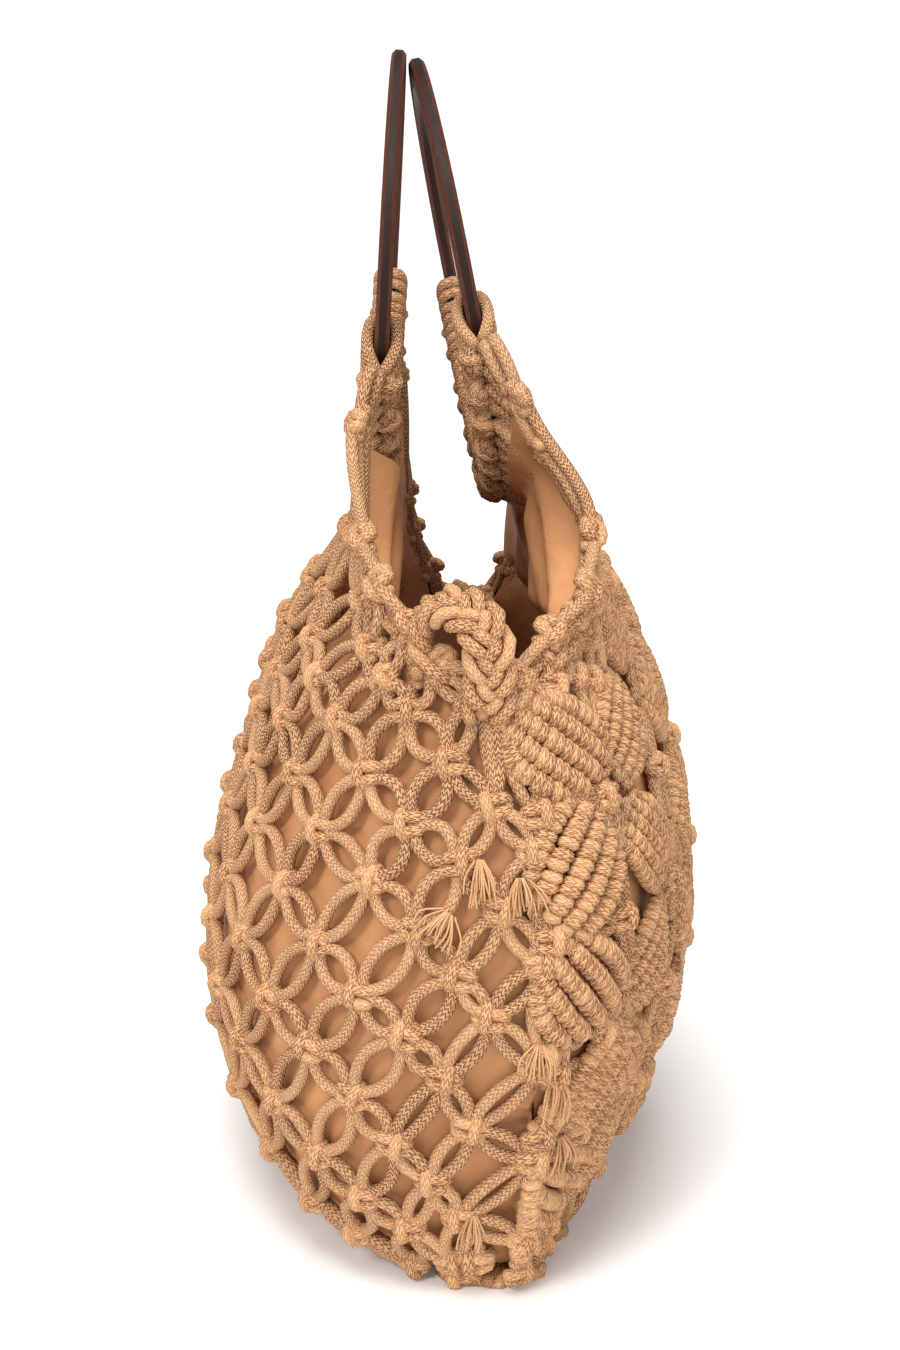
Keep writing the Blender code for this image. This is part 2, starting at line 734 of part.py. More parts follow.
def smooth_route(points, spacing):
    """Points at an even spacing on a smooth curve through the given points."""
    points = [Vector(point) for point in points]
    padded = [points[0] * 2 - points[1]] + points + [points[-1] * 2 - points[-2]]
    route = []
    for index in range(1, len(padded) - 2):
        before, start, end, after = padded[index - 1:index + 3]
        count = max(1, round((end - start).length / spacing))
        for step in range(count):
            share = step / count
            linear = (end - before) * 0.5 * share
            square = (before * 2 - start * 5 + end * 4 - after) * 0.5 * share ** 2
            cube = (start * 3 - before - end * 3 + after) * 0.5 * share ** 3
            route.append(start + linear + square + cube)
    route.append(points[-1])
    return route


def add_curve_piece(name, route, radius, colour):
    """A cord as a curve with a round bevel and filled ends."""
    curve = bpy.data.curves.new(name, "CURVE")
    curve.dimensions = "3D"
    curve.bevel_depth = radius
    curve.bevel_resolution = 2
    curve.use_fill_caps = True
    spline = curve.splines.new("POLY")
    spline.points.add(len(route) - 1)
    for point, spot in zip(spline.points, route):
        point.co = (*spot, 1.0)
    curve.materials.append(make_material(name, colour, 0.85))
    piece = bpy.data.objects.new(name, curve)
    collection.objects.link(piece)
    return piece


def low_point(side):
    """The panels' meeting point at the foot of one side opening."""
    back = BACK_PANEL.point(side, BACK_PANEL.rim_start)
    return (back + FRONT_PANEL.point(side, FRONT_PANEL.rim_start)) / 2


def build_rim(name, side):
    """The edge of one side opening: down the back panel, up the front one."""
    back = rim_edge_line(BACK_PANEL, side)
    front = rim_edge_line(FRONT_PANEL, side)
    low = low_point(side)
    low.x -= side * PANEL_WALL
    low.z += RIM_RADIUS + 2 * RIM_CLEARANCE
    route = smooth_route(back[::-1] + [low] + front, RIM_SPACING)
    return add_curve_piece(name, route, RIM_RADIUS, CORD_COLOUR)


def build_loop(name, side, steps):
    """A braided loop: it stands on the rim's low point and bends inwards."""
    low = low_point(side)
    route = [low + Vector(step) for step in steps]
    return add_curve_piece(name, smooth_route(route, LOOP_SPACING), LOOP_RADIUS, CORD_COLOUR)


build_ring("ring_back", BACK_RING)
build_ring("ring_front", FRONT_RING)
build_sleeve("sleeve_back", BACK_RING)
build_sleeve("sleeve_front", FRONT_RING)
build_net_back()
build_leaf_front()
build_lining()
build_rim("rim_left", -1)
build_rim("rim_right", 1)
build_loop("loop_left", -1, LEFT_LOOP_ROUTE)
build_loop("loop_right", 1, RIGHT_LOOP_ROUTE)
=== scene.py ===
"""The looks of a macrame cord handbag on two wooden ring handles.

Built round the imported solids, in metres, +Z up. The ribbed leaf panel faces -Y,
the net faces +Y, and the left end, at -X, faces the camera.
"""

import math

import bmesh
import bpy
import numpy as np
from mathutils import Matrix, Vector


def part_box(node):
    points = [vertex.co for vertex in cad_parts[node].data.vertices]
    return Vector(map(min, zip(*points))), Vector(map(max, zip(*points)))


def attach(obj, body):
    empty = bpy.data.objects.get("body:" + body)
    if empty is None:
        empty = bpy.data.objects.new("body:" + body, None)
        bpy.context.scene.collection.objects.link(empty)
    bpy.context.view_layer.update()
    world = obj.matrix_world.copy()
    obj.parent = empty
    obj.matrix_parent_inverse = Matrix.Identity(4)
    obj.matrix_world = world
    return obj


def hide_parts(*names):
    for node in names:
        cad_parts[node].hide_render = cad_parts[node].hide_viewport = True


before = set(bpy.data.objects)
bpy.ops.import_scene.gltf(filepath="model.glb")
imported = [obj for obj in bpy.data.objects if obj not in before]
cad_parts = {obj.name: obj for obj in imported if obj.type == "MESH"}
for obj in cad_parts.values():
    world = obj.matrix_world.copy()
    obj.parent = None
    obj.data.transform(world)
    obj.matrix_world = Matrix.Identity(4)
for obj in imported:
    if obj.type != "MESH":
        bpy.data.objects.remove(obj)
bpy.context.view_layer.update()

# The studio: a white table under a white backdrop, a large soft light
# overhead, one from the camera's left, one from the camera's side and a weak
# one from its right. The camera stands at the bag's left end, a little above its middle.
TABLE_SIZE = 8.0
CAMERA_PLACE = (-0.7225, 0.0165, 0.328)
CAMERA_PITCH = math.radians(10.0)
CAMERA_YAW = math.radians(1.38)
FOCAL_PIXELS = 1700.0
PHOTO_HEIGHT = 1350.0

scene = bpy.context.scene
scene.view_settings.view_transform = "Standard"

camera_data = bpy.data.cameras.new("camera")
camera_data.sensor_fit = "VERTICAL"
camera_data.sensor_height = 24.0
camera_data.lens = camera_data.sensor_height * FOCAL_PIXELS / PHOTO_HEIGHT
camera_data.clip_start = 0.02
camera = bpy.data.objects.new("camera", camera_data)
camera.location = CAMERA_PLACE
camera.rotation_euler = (math.pi / 2 - CAMERA_PITCH, 0.0, -math.pi / 2 - CAMERA_YAW)
scene.collection.objects.link(camera)
scene.camera = camera

table_shape = bmesh.new()
bmesh.ops.create_grid(table_shape, x_segments=2, y_segments=2, size=TABLE_SIZE / 2)
table_mesh = bpy.data.meshes.new("table")
table_shape.to_mesh(table_mesh)
table_shape.free()
table = bpy.data.objects.new("table", table_mesh)
scene.collection.objects.link(table)
table_white = bpy.data.materials.new("table_white")
table_white.use_nodes = True
table_white.node_tree.nodes["Principled BSDF"].inputs["Base Color"].default_value = (0.93, 0.93, 0.93, 1.0)
table_white.node_tree.nodes["Principled BSDF"].inputs["Roughness"].default_value = 0.6
table_mesh.materials.append(table_white)

studio = bpy.data.worlds.new("studio")
studio.use_nodes = True
studio_tree = studio.node_tree
view = studio_tree.nodes.new("ShaderNodeLightPath")
wall_light = studio_tree.nodes.new("ShaderNodeMapRange")
wall_light.inputs["To Min"].default_value = 0.23
wall_light.inputs["To Max"].default_value = 1.1
studio_tree.links.new(view.outputs["Is Camera Ray"], wall_light.inputs["Value"])
studio_tree.links.new(wall_light.outputs["Result"], studio_tree.nodes["Background"].inputs["Strength"])
studio_tree.nodes["Background"].inputs["Color"].default_value = (1.0, 1.0, 1.0, 1.0)
scene.world = studio


def soft_light(name, way, power, spread):
    """A broad even light that shines along a direction."""
    light_data = bpy.data.lights.new(name, "SUN")
    light_data.angle = math.radians(spread)
    light_data.energy = power
    light = bpy.data.objects.new(name, light_data)
    light.rotation_euler = Vector(way).to_track_quat("-Z", "Y").to_euler()
    scene.collection.objects.link(light)


soft_light("light_above", (0.22, -0.06, -1.0), 2.8, 34.0)
soft_light("light_left", (0.8, -0.6, -0.8), 1.7, 20.0)
soft_light("light_camera", (1.0, 0.1, -0.4), 0.8, 25.0)
soft_light("light_right", (0.75, 0.75, -0.6), 0.7, 40.0)

# The two wooden ring handles: flat rings sawn from board, with chamfered
# edges, stained very dark and lacquered. They stand in the cord at their
# lowest point and lean together until their upper edges touch.
RING_RADIUS = 0.085
RING_BREADTH = 0.012
RING_THICKNESS = 0.0056
RING_CHAMFER = 0.0014
RING_GAP = 0.0003
RING_CONTACT_Y = 0.0165
RING_STEPS = 144


def place_ring(node, side, foot_y, ends):
    """One ring's centre and directions, and the arc of it that the cord covers."""
    top_y = RING_CONTACT_Y + side * (RING_THICKNESS + RING_GAP) / 2
    tilt = math.asin((foot_y - top_y) / (2 * RING_RADIUS))
    low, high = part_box(node)
    centre = Vector((0.0, (foot_y + top_y) / 2, (low.z + high.z) / 2))
    down = Vector((0.0, math.sin(tilt), -math.cos(tilt)))
    out = Vector((0.0, math.cos(tilt), math.sin(tilt))) * side
    return {"node": node, "side": side, "tilt": tilt, "centre": centre, "down": down, "out": out, "ends": ends}


back_ring = place_ring("ring_back", 1, 0.0295, (65.0, 86.0))
front_ring = place_ring("ring_front", -1, -0.0205, (73.0, 84.0))


def on_ring(ring, radius, angle, lift):
    """A point at a radius and an angle from the ring's lowest point."""
    across = Vector((math.sin(angle), 0.0, 0.0)) * radius
    return ring["centre"] + across + ring["down"] * (math.cos(angle) * radius) + ring["out"] * lift


def sleeve_angle(ring, across):
    """The angle on the covered arc for -1 at its left end and +1 at its right."""
    end = ring["ends"][0] if across < 0 else ring["ends"][1]
    return math.radians(end) * across


def add_piece(name, mesh, material, slot, *nodes):
    """Put a finished mesh into the scene, in place of the solids it stands for."""
    piece = bpy.data.objects.new(name, mesh)
    mesh.materials.clear()
    mesh.materials.append(material)
    scene.collection.objects.link(piece)
    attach(piece, "root")
    if nodes:
        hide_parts(*nodes)
    return piece


def new_material(name, **values):
    """A material with a Principled shader, its plain values set on its sockets."""
    material = bpy.data.materials.new(name)
    material.use_nodes = True
    shader = material.node_tree.nodes["Principled BSDF"]
    for socket, value in values.items():
        shader.inputs[socket.replace("_", " ")].default_value = value
    return material, material.node_tree, shader


def add_node(tree, kind, links=(), **values):
    """A node with its sockets linked or set: a socket is a name or a number."""
    node = tree.nodes.new(kind)
    for key, value in values.items():
        setattr(node, key, value)
    for socket, source in links:
        if isinstance(source, bpy.types.NodeSocket):
            tree.links.new(source, node.inputs[socket])
        else:
            node.inputs[socket].default_value = source
    return node


def blend_colours(tree, share, first, second):
    """A mix of two colours."""
    mix = tree.nodes.new("ShaderNodeMix")
    mix.data_type = "RGBA"
    for socket, source in ((0, share), (6, first), (7, second)):
        if isinstance(source, bpy.types.NodeSocket):
            tree.links.new(source, mix.inputs[socket])
        else:
            mix.inputs[socket].default_value = source
    return mix.outputs[2]


ring_wood, tree, shader = new_material(
    "ring_wood", Roughness=0.42, Specular_IOR_Level=0.08, Coat_Weight=0.2, Coat_Roughness=0.2
)
place = add_node(tree, "ShaderNodeTexCoord").outputs["Object"]
stretched = add_node(tree, "ShaderNodeMapping", [("Vector", place), ("Scale", (1.0, 14.0, 1.0))])
grain = add_node(tree, "ShaderNodeTexNoise", [("Vector", stretched.outputs[0]), ("Scale", 160.0), ("Detail", 6.0)])
pores = add_node(tree, "ShaderNodeTexNoise", [("Vector", stretched.outputs[0]), ("Scale", 900.0), ("Detail", 2.0)])
chamfer = add_node(tree, "ShaderNodeAttribute", attribute_name="chamfer")
dark = blend_colours(tree, grain.outputs["Fac"], (0.005, 0.002, 0.001, 1.0), (0.034, 0.010, 0.006, 1.0))
# The chamfered faces are painted a lighter red-brown: a painted highlight along the ring's edges.
edge = blend_colours(tree, grain.outputs["Fac"], (0.030, 0.008, 0.005, 1.0), (0.150, 0.048, 0.026, 1.0))
wood_colour = blend_colours(tree, chamfer.outputs["Fac"], dark, edge)
tree.links.new(wood_colour, shader.inputs["Base Color"])
bump = add_node(tree, "ShaderNodeBump", [("Height", pores.outputs["Fac"]), ("Strength", 0.35), ("Distance", 0.0004)])
tree.links.new(bump.outputs[0], shader.inputs["Normal"])
tree.links.new(bump.outputs[0], shader.inputs["Coat Normal"])

for ring in (back_ring, front_ring):
    shape = bmesh.new()
    half = RING_THICKNESS / 2
    inner = RING_RADIUS - RING_BREADTH
    section = [(inner, -half), (RING_RADIUS, -half), (RING_RADIUS, half), (inner, half)]
    corners = [shape.verts.new((radius, lift, 0.0)) for radius, lift in section]
    shape.faces.new(corners)
    bmesh.ops.bevel(
        shape, geom=shape.verts[:], offset=RING_CHAMFER, segments=1, profile=0.5, affect="VERTICES", material=-1
    )
    bmesh.ops.delete(shape, geom=shape.faces[:], context="FACES_ONLY")
    bmesh.ops.spin(
        shape, geom=shape.verts[:] + shape.edges[:], cent=(0, 0, 0), axis=(0, 1, 0), angle=2 * math.pi,
        steps=RING_STEPS, use_merge=True,
    )
    bmesh.ops.remove_doubles(shape, verts=shape.verts, dist=0.00001)
    bmesh.ops.recalc_face_normals(shape, faces=shape.faces[:])
    is_chamfer = shape.faces.layers.float.new("chamfer")
    for face in shape.faces:
        face.smooth = True
        face[is_chamfer] = 1.0 if 0.3 < abs(face.normal.y) < 0.95 else 0.0
    turn = Matrix.Rotation(ring["tilt"], 4, "X")
    bmesh.ops.transform(shape, matrix=Matrix.Translation(ring["centre"]) @ turn, verts=shape.verts)
    mesh = bpy.data.meshes.new(ring["node"] + "_wood")
    shape.to_mesh(mesh)
    shape.free()
    mesh.set_sharp_from_angle(angle=math.radians(30.0))
    add_piece("wood_" + ring["node"], mesh, ring_wood, "handle_wood", ring["node"])

# The body of the bag: two panels of knotted cord that meet at the side seams
# and the bottom, and narrow upwards to the rings. Every cord below is laid on
# these two surfaces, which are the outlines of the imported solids.
HALF_WIDTH = 0.183
BACK_DEPTH = 0.1035
FRONT_DEPTH = 0.101
SHOULDER_HEIGHT = 0.2795
PANEL_TOP_RADIUS = 0.0924
PANEL_WALL = 0.0042
SHOULDER_FLATNESS = 0.35

# Sections from the bottom seam to the low point of the side openings:
# edge_x, edge_y, left_z, right_z, back_y, front_y, middle_z, as shares of the
# half width, the depths and the shoulder height, then how soon the back and
# the front fall away towards their ends.
BODY_SECTIONS = (
    (0.760, -0.21, 0.000, 0.000, -0.21, -0.21, 0.000, 1.00, 1.00),
    (0.808, -0.21, 0.000, 0.000, 0.420, -0.53, 0.000, 0.60, 1.50),
    (0.845, -0.22, 0.025, 0.025, 0.630, -0.60, 0.025, 0.65, 1.80),
    (0.878, -0.24, 0.070, 0.070, 0.800, -0.72, 0.070, 0.65, 2.00),
    (0.912, -0.24, 0.135, 0.132, 0.895, -0.85, 0.135, 0.65, 1.90),
    (0.946, -0.25, 0.220, 0.212, 0.980, -0.93, 0.220, 0.70, 1.70),
    (0.978, -0.25, 0.320, 0.306, 1.015, -0.985, 0.320, 0.80, 1.40),
    (1.000, -0.25, 0.430, 0.405, 1.000, -1.00, 0.430, 0.90, 1.15),
    (0.995, -0.24, 0.535, 0.500, 0.940, -0.98, 0.535, 1.00, 1.00),
    (0.967, -0.21, 0.640, 0.590, 0.845, -0.93, 0.640, 1.00, 1.00),
    (0.935, -0.17, 0.725, 0.660, 0.775, -0.86, 0.725, 1.00, 1.00),
    (0.907, -0.13, 0.786, 0.712, 0.715, -0.79, 0.786, 1.00, 1.00),
)
# Above that: left_x, left_y, left_z, right_x, right_y, right_z, middle_y, middle_z.
BACK_SHOULDERS = (
    (0.863, 0.09, 0.818, 0.850, 0.04, 0.760, 0.665, 0.829),
    (0.790, 0.19, 0.857, 0.790, 0.09, 0.815, 0.580, 0.875),
    (0.710, 0.28, 0.904, 0.710, 0.17, 0.890, 0.490, 0.918),
    (0.600, 0.34, 0.961, 0.610, 0.20, 0.970, 0.425, 0.950),
    (0.505, 0.36, 1.070, 0.530, 0.22, 1.110, 0.375, 0.978),
)
FRONT_SHOULDERS = (
    (0.875, -0.23, 0.806, 0.850, -0.27, 0.760, -0.750, 0.825),
    (0.800, -0.34, 0.850, 0.790, -0.36, 0.825, -0.690, 0.868),
    (0.705, -0.475, 0.904, 0.700, -0.41, 0.895, -0.620, 0.911),
    (0.585, -0.505, 0.985, 0.600, -0.40, 0.975, -0.545, 0.946),
    (0.497, -0.30, 1.105, 0.520, -0.30, 1.110, -0.430, 0.975),
)
ACROSS_STEPS = 160
ALONG_STEPS = 260


def section_line(shares, left, right, middle, fall):
    """One level line of a panel: half an ellipse at a fall of 1, an arch at 2."""
    angles = math.pi / 2 * (shares - 0.18 * np.sin(math.pi * shares) / math.pi)
    rise = np.abs(np.sin(angles)) ** 2.6
    edge = np.where(shares[:, None] < 0, np.array(left), np.array(right))
    x = np.abs(edge[:, 0]) * np.sin(angles)
    y = edge[:, 1] + (middle[1] - edge[:, 1]) * np.maximum(np.cos(angles), 0.0) ** fall
    z = middle[2] + (edge[:, 2] - middle[2]) * rise
    return np.stack([x, y, z], axis=1)


def make_panel(ring):
    """A fine grid of points and outward directions on one panel."""
    back = ring["side"] > 0
    depth = BACK_DEPTH if back else FRONT_DEPTH
    shares = np.linspace(-1, 1, ACROSS_STEPS + 1)
    lines = []
    ends = []
    for index, row in enumerate(BODY_SECTIONS):
        edge_x, edge_y, left_z, right_z, back_y, front_y, middle_z, back_fall, front_fall = row
        middle_y = back_y * depth if back else front_y * depth
        edge_y = edge_y * BACK_DEPTH
        middle_y = edge_y if index == 0 else middle_y
        left = (-edge_x * HALF_WIDTH, edge_y, left_z * SHOULDER_HEIGHT)
        right = (edge_x * HALF_WIDTH, edge_y, right_z * SHOULDER_HEIGHT)
        middle = (0.0, middle_y, middle_z * SHOULDER_HEIGHT)
        lines.append(section_line(shares, left, right, middle, back_fall if back else front_fall))
        ends.append((left, right, middle))
    for index, row in enumerate(BACK_SHOULDERS if back else FRONT_SHOULDERS):
        left = (-row[0] * HALF_WIDTH, row[1] * depth, row[2] * SHOULDER_HEIGHT)
        right = (row[3] * HALF_WIDTH, row[4] * depth, row[5] * SHOULDER_HEIGHT)
        middle = (0.0, row[6] * depth, row[7] * SHOULDER_HEIGHT)
        fall = 1 + min((index + 1) * SHOULDER_FLATNESS, 1.0)
        lines.append(section_line(shares, left, right, middle, fall))
        ends.append((left, right, middle))
    top = [on_ring(ring, PANEL_TOP_RADIUS, sleeve_angle(ring, share), PANEL_WALL / 2) for share in shares]
    lines.append(np.array(top))
    ends.append((top[0], top[-1], top[ACROSS_STEPS // 2]))
    places = [0.0]
    for lower, upper in zip(ends, ends[1:]):
        steps = [(Vector(high) - Vector(low)).length for low, high in zip(lower, upper)]
        places.append(places[-1] + sum(steps) / 3)
    places = np.array(places)
    lines = np.array(lines)
    gaps = np.diff(places)[:, None, None]
    secants = np.diff(lines, axis=0) / gaps
    product = secants[:-1] * secants[1:]
    total = np.where(product > 0, secants[:-1] + secants[1:], 1.0)
    inner_slopes = np.where(product > 0, 2 * product / total, 0.0)
    slopes = np.concatenate([secants[:1], inner_slopes, secants[-1:]])
    heights = np.linspace(0, places[-1], ALONG_STEPS + 1)
    index = np.clip(np.searchsorted(places, heights) - 1, 0, len(places) - 2)
    share = ((heights - places[index]) / gaps[index, 0, 0])[:, None, None]
    points = (1 + 2 * share) * (1 - share) ** 2 * lines[index] + share ** 2 * (3 - 2 * share) * lines[index + 1]
    points += share * (1 - share) ** 2 * slopes[index] * gaps[index]
    points += share ** 2 * (share - 1) * slopes[index + 1] * gaps[index]
    sideways = np.gradient(points, axis=1)
    upwards = np.gradient(points, axis=0)
    outward = -np.cross(sideways, upwards) * ring["side"]
    outward /= np.maximum(np.linalg.norm(outward, axis=2, keepdims=True), 1e-12)
    rim_start = places[len(BODY_SECTIONS) - 1]
    above = np.clip((heights - rim_start) / 0.045, 0.0, 1.0)
    limit = 1 - 0.25 * above
    for row in range(ALONG_STEPS + 1):
        column = (np.clip(shares, -limit[row], limit[row]) + 1) / 2 * ACROSS_STEPS
        outward[row] = outward[row][np.round(column).astype(int)]
        if heights[row] <= rim_start:
            for end in (0, 1, -2, -1):
                outward[row, end, 1] = 0.0
    outward[heights < places[1]] = (0.0, 0.0, -1.0)
    outward /= np.maximum(np.linalg.norm(outward, axis=2, keepdims=True), 1e-12)
    return {"points": points, "outward": outward, "length": places[-1], "rim_start": rim_start, "ring": ring}


back_panel = make_panel(back_ring)
front_panel = make_panel(front_ring)


def read_grid(panel, values, across, along):
    """Read a panel's grid between its points."""
    column = min(max((across + 1) / 2, 0.0), 1.0) * ACROSS_STEPS
    row = min(max(along / panel["length"], 0.0), 1.0) * ALONG_STEPS
    left = min(int(column), ACROSS_STEPS - 1)
    low = min(int(row), ALONG_STEPS - 1)
    side = column - left
    rise = row - low
    grid = panel[values]
    lower = grid[low, left] * (1 - side) + grid[low, left + 1] * side
    upper = grid[low + 1, left] * (1 - side) + grid[low + 1, left + 1] * side
    return Vector(lower * (1 - rise) + upper * rise)


def on_panel(panel, across, along, lift=0.0):
    """A point on a panel, or above its outer surface."""
    point = read_grid(panel, "points", across, along)
    return point + read_grid(panel, "outward", across, along).normalized() * lift


def panel_directions(panel, across, along):
    """The directions sideways to the right, up the cloth, and outwards."""
    out = read_grid(panel, "outward", across, along).normalized()
    low = read_grid(panel, "points", across, along - 0.003)
    high = read_grid(panel, "points", across, along + 0.003)
    up = high - low
    up -= out * up.dot(out)
    up.normalize()
    side = up.cross(out).normalized() * -panel["ring"]["side"]
    return side, up, out


# The cotton cord: a soft round braid about 4.8 mm thick, of eight strands that
# cross in chevrons. It is undyed tan with a little fuzz. All the knotted
# pieces below are made of it.
CORD_RADIUS = 0.0024
BRAID_STITCH = 0.0018
BRAID_COLUMNS = 8.0
chance = np.random.default_rng(11)


def smooth_line(points, spacing):
    """Points at about an even spacing on a smooth curve through the given ones."""
    points = [Vector(point) for point in points]
    padded = [points[0] * 2 - points[1]] + points + [points[-1] * 2 - points[-2]]
    line = []
    for index in range(1, len(padded) - 2):
        before, start, end, after = padded[index - 1:index + 3]
        count = max(1, round((end - start).length / spacing))
        for step in range(count):
            share = step / count
            linear = (end - before) * 0.5 * share
            square = (before * 2 - start * 5 + end * 4 - after) * 0.5 * share ** 2
            cube = (start * 3 - before - end * 3 + after) * 0.5 * share ** 3
            line.append(start + linear + square + cube)
    line.append(points[-1])
    return line


def cord_mesh(name, cords, roundness):
    """Round cords from (middle line, radius) pairs, with rounded closed ends.

    The UV map runs along the cord in metres, and round it.
    """
    curve = bpy.data.curves.new(name, "CURVE")
    curve.dimensions = "3D"
    curve.bevel_depth = 0.001
    curve.bevel_resolution = roundness
    lengths = []
    for line, radius in cords:
        first = (line[0] - line[1]).normalized() * radius
        last = (line[-1] - line[-2]).normalized() * radius
        route = [line[0] + first * 0.75, line[0] + first * 0.45] + line + [line[-1] + last * 0.45, line[-1] + last * 0.75]
        sizes = [0.02, 0.78] + [1.0] * len(line) + [0.78, 0.02]
        spline = curve.splines.new("POLY")
        spline.points.add(len(route) - 1)
        flat = [number for point in route for number in (point.x, point.y, point.z, 1.0)]
        spline.points.foreach_set("co", flat)
        spline.points.foreach_set("radius", [size * radius / 0.001 for size in sizes])
        spline.use_smooth = True
        lengths.append(sum((b - a).length for a, b in zip(route, route[1:])))
    holder = bpy.data.objects.new(name, curve)
    scene.collection.objects.link(holder)
    bpy.context.view_layer.update()
    shown = holder.evaluated_get(bpy.context.evaluated_depsgraph_get())
    mesh = bpy.data.meshes.new_from_object(shown)
    bpy.data.objects.remove(holder)
    bpy.data.curves.remove(curve)
    sides = roundness * 2 + 4
    loops = [(len(line) + 3) * sides * 4 for line, radius in cords]
    along = np.repeat(np.array(lengths), loops)
    places = np.zeros(len(mesh.loops) * 2)
    mesh.uv_layers[0].data.foreach_get("uv", places)
    places[0::2] *= along
    mesh.uv_layers[0].data.foreach_set("uv", places)
    tone = mesh.attributes.new("tone", "FLOAT", "FACE")
    tones = np.repeat(chance.random(len(cords)), [count // 4 for count in loops])
    tone.data.foreach_set("value", tones.astype(np.float32))
    shape = bmesh.new()
    shape.from_mesh(mesh)
    bmesh.ops.remove_doubles(shape, verts=shape.verts, dist=0.00012)
    for vertex in shape.verts:
        vertex.co.z = max(vertex.co.z, 0.0002)
    for face in shape.faces:
        face.smooth = True
    shape.to_mesh(mesh)
    shape.free()
    return mesh


def braid_group():
    """The braid: chevrons of short stitches along the cord, as a mask and a height."""
    group = bpy.data.node_groups.new("cotton_braid", "ShaderNodeTree")
    group.interface.new_socket("Stitches", in_out="OUTPUT", socket_type="NodeSocketFloat")
    group.interface.new_socket("Fuzz", in_out="OUTPUT", socket_type="NodeSocketFloat")
    group.interface.new_socket("Patches", in_out="OUTPUT", socket_type="NodeSocketFloat")

    def math_node(operation, *sources):
        links = list(enumerate(sources))
        return add_node(group, "ShaderNodeMath", links, operation=operation).outputs[0]

    surface = add_node(group, "ShaderNodeUVMap", uv_map="UVMap").outputs[0]
    parts = add_node(group, "ShaderNodeSeparateXYZ", [(0, surface)]).outputs
    columns = math_node("MULTIPLY", parts[1], BRAID_COLUMNS)
    wave = math_node("PINGPONG", columns, 0.5)
    slant = math_node("MULTIPLY", wave, 1.4)
    rows = math_node("DIVIDE", parts[0], BRAID_STITCH)
    place = add_node(group, "ShaderNodeTexCoord").outputs["Object"]
    wobble = add_node(group, "ShaderNodeTexNoise", [("Vector", place), ("Scale", 420.0), ("Detail", 1.0)])
    phase = math_node("ADD", rows, math_node("MULTIPLY_ADD", wobble.outputs["Fac"], 1.1, slant))
    turn = math_node("MULTIPLY", phase, 2 * math.pi)
    swell = math_node("SINE", turn)
    stitches = math_node("MULTIPLY_ADD", swell, 0.5, 0.5)
    # Darker along the grooves between the strand columns: painted shade.
    groove = math_node("PINGPONG", columns, 0.25)
    groove = math_node("MULTIPLY", groove, 7.0)
    groove = math_node("MINIMUM", groove, 1.0)
    stitches = math_node("MULTIPLY", stitches, math_node("MULTIPLY_ADD", groove, 0.5, 0.5))
    stitches = math_node("POWER", stitches, 0.65)
    fuzz = add_node(group, "ShaderNodeTexNoise", [("Vector", place), ("Scale", 1500.0), ("Detail", 3.0)])
    patches = add_node(group, "ShaderNodeTexNoise", [("Vector", place), ("Scale", 45.0), ("Detail", 2.0)])
    output = add_node(group, "NodeGroupOutput")
    group.links.new(stitches, output.inputs["Stitches"])
    group.links.new(fuzz.outputs["Fac"], output.inputs["Fuzz"])
    group.links.new(patches.outputs["Fac"], output.inputs["Patches"])
    return group


def cord_material(name, shadow, light, bump_height):
    """Tan cotton braid: painted shade between the stitches and in the grooves between the strands, with slight tone
    changes.
    """
    material, tree, shader = new_material(name, Roughness=0.9, Specular_IOR_Level=0.12)
    braid = add_node(tree, "ShaderNodeGroup")
    braid.node_tree = bpy.data.node_groups.get("cotton_braid") or braid_group()
    tone = add_node(tree, "ShaderNodeAttribute", attribute_name="tone")
    colour = blend_colours(tree, braid.outputs["Stitches"], shadow, light)
    worn = add_node(tree, "ShaderNodeMath", [(0, tone.outputs["Fac"]), (1, braid.outputs["Patches"])], operation="MULTIPLY")
    paler = blend_colours(tree, worn.outputs[0], colour, (*[min(1.0, part * 1.12) for part in light[:3]], 1.0))
    tree.links.new(paler, shader.inputs["Base Color"])
    fuzzy = add_node(tree, "ShaderNodeMath", [(0, braid.outputs["Fuzz"]), (1, 0.5)], operation="MULTIPLY")
    height = add_node(tree, "ShaderNodeMath", [(0, braid.outputs["Stitches"]), (1, fuzzy.outputs[0])], operation="ADD")
    bump = add_node(tree, "ShaderNodeBump", [("Height", height.outputs[0]), ("Strength", 0.9), ("Distance", bump_height)])
    tree.links.new(bump.outputs[0], shader.inputs["Normal"])
    return material


cotton_cord = cord_material("cotton_braid", (0.16, 0.042, 0.009, 1.0), (0.76, 0.440, 0.232, 1.0), 0.0008)
tight_cord = cord_material("cotton_tight", (0.20, 0.058, 0.015, 1.0), (0.73, 0.422, 0.218, 1.0), 0.0005)

# The sleeves: each panel's cords come up on one side of a ring's lower arc,
# turn over its inner edge and go down the other side. A row of small knots
# closes them under the ring.
LOOP_SPACING = 0.0047
SLEEVE_LEAN = math.radians(6.5)
LIP_LEAN = math.radians(1.0)
SLEEVE_SHORT = math.radians(2.5)
sleeve_shares = {}


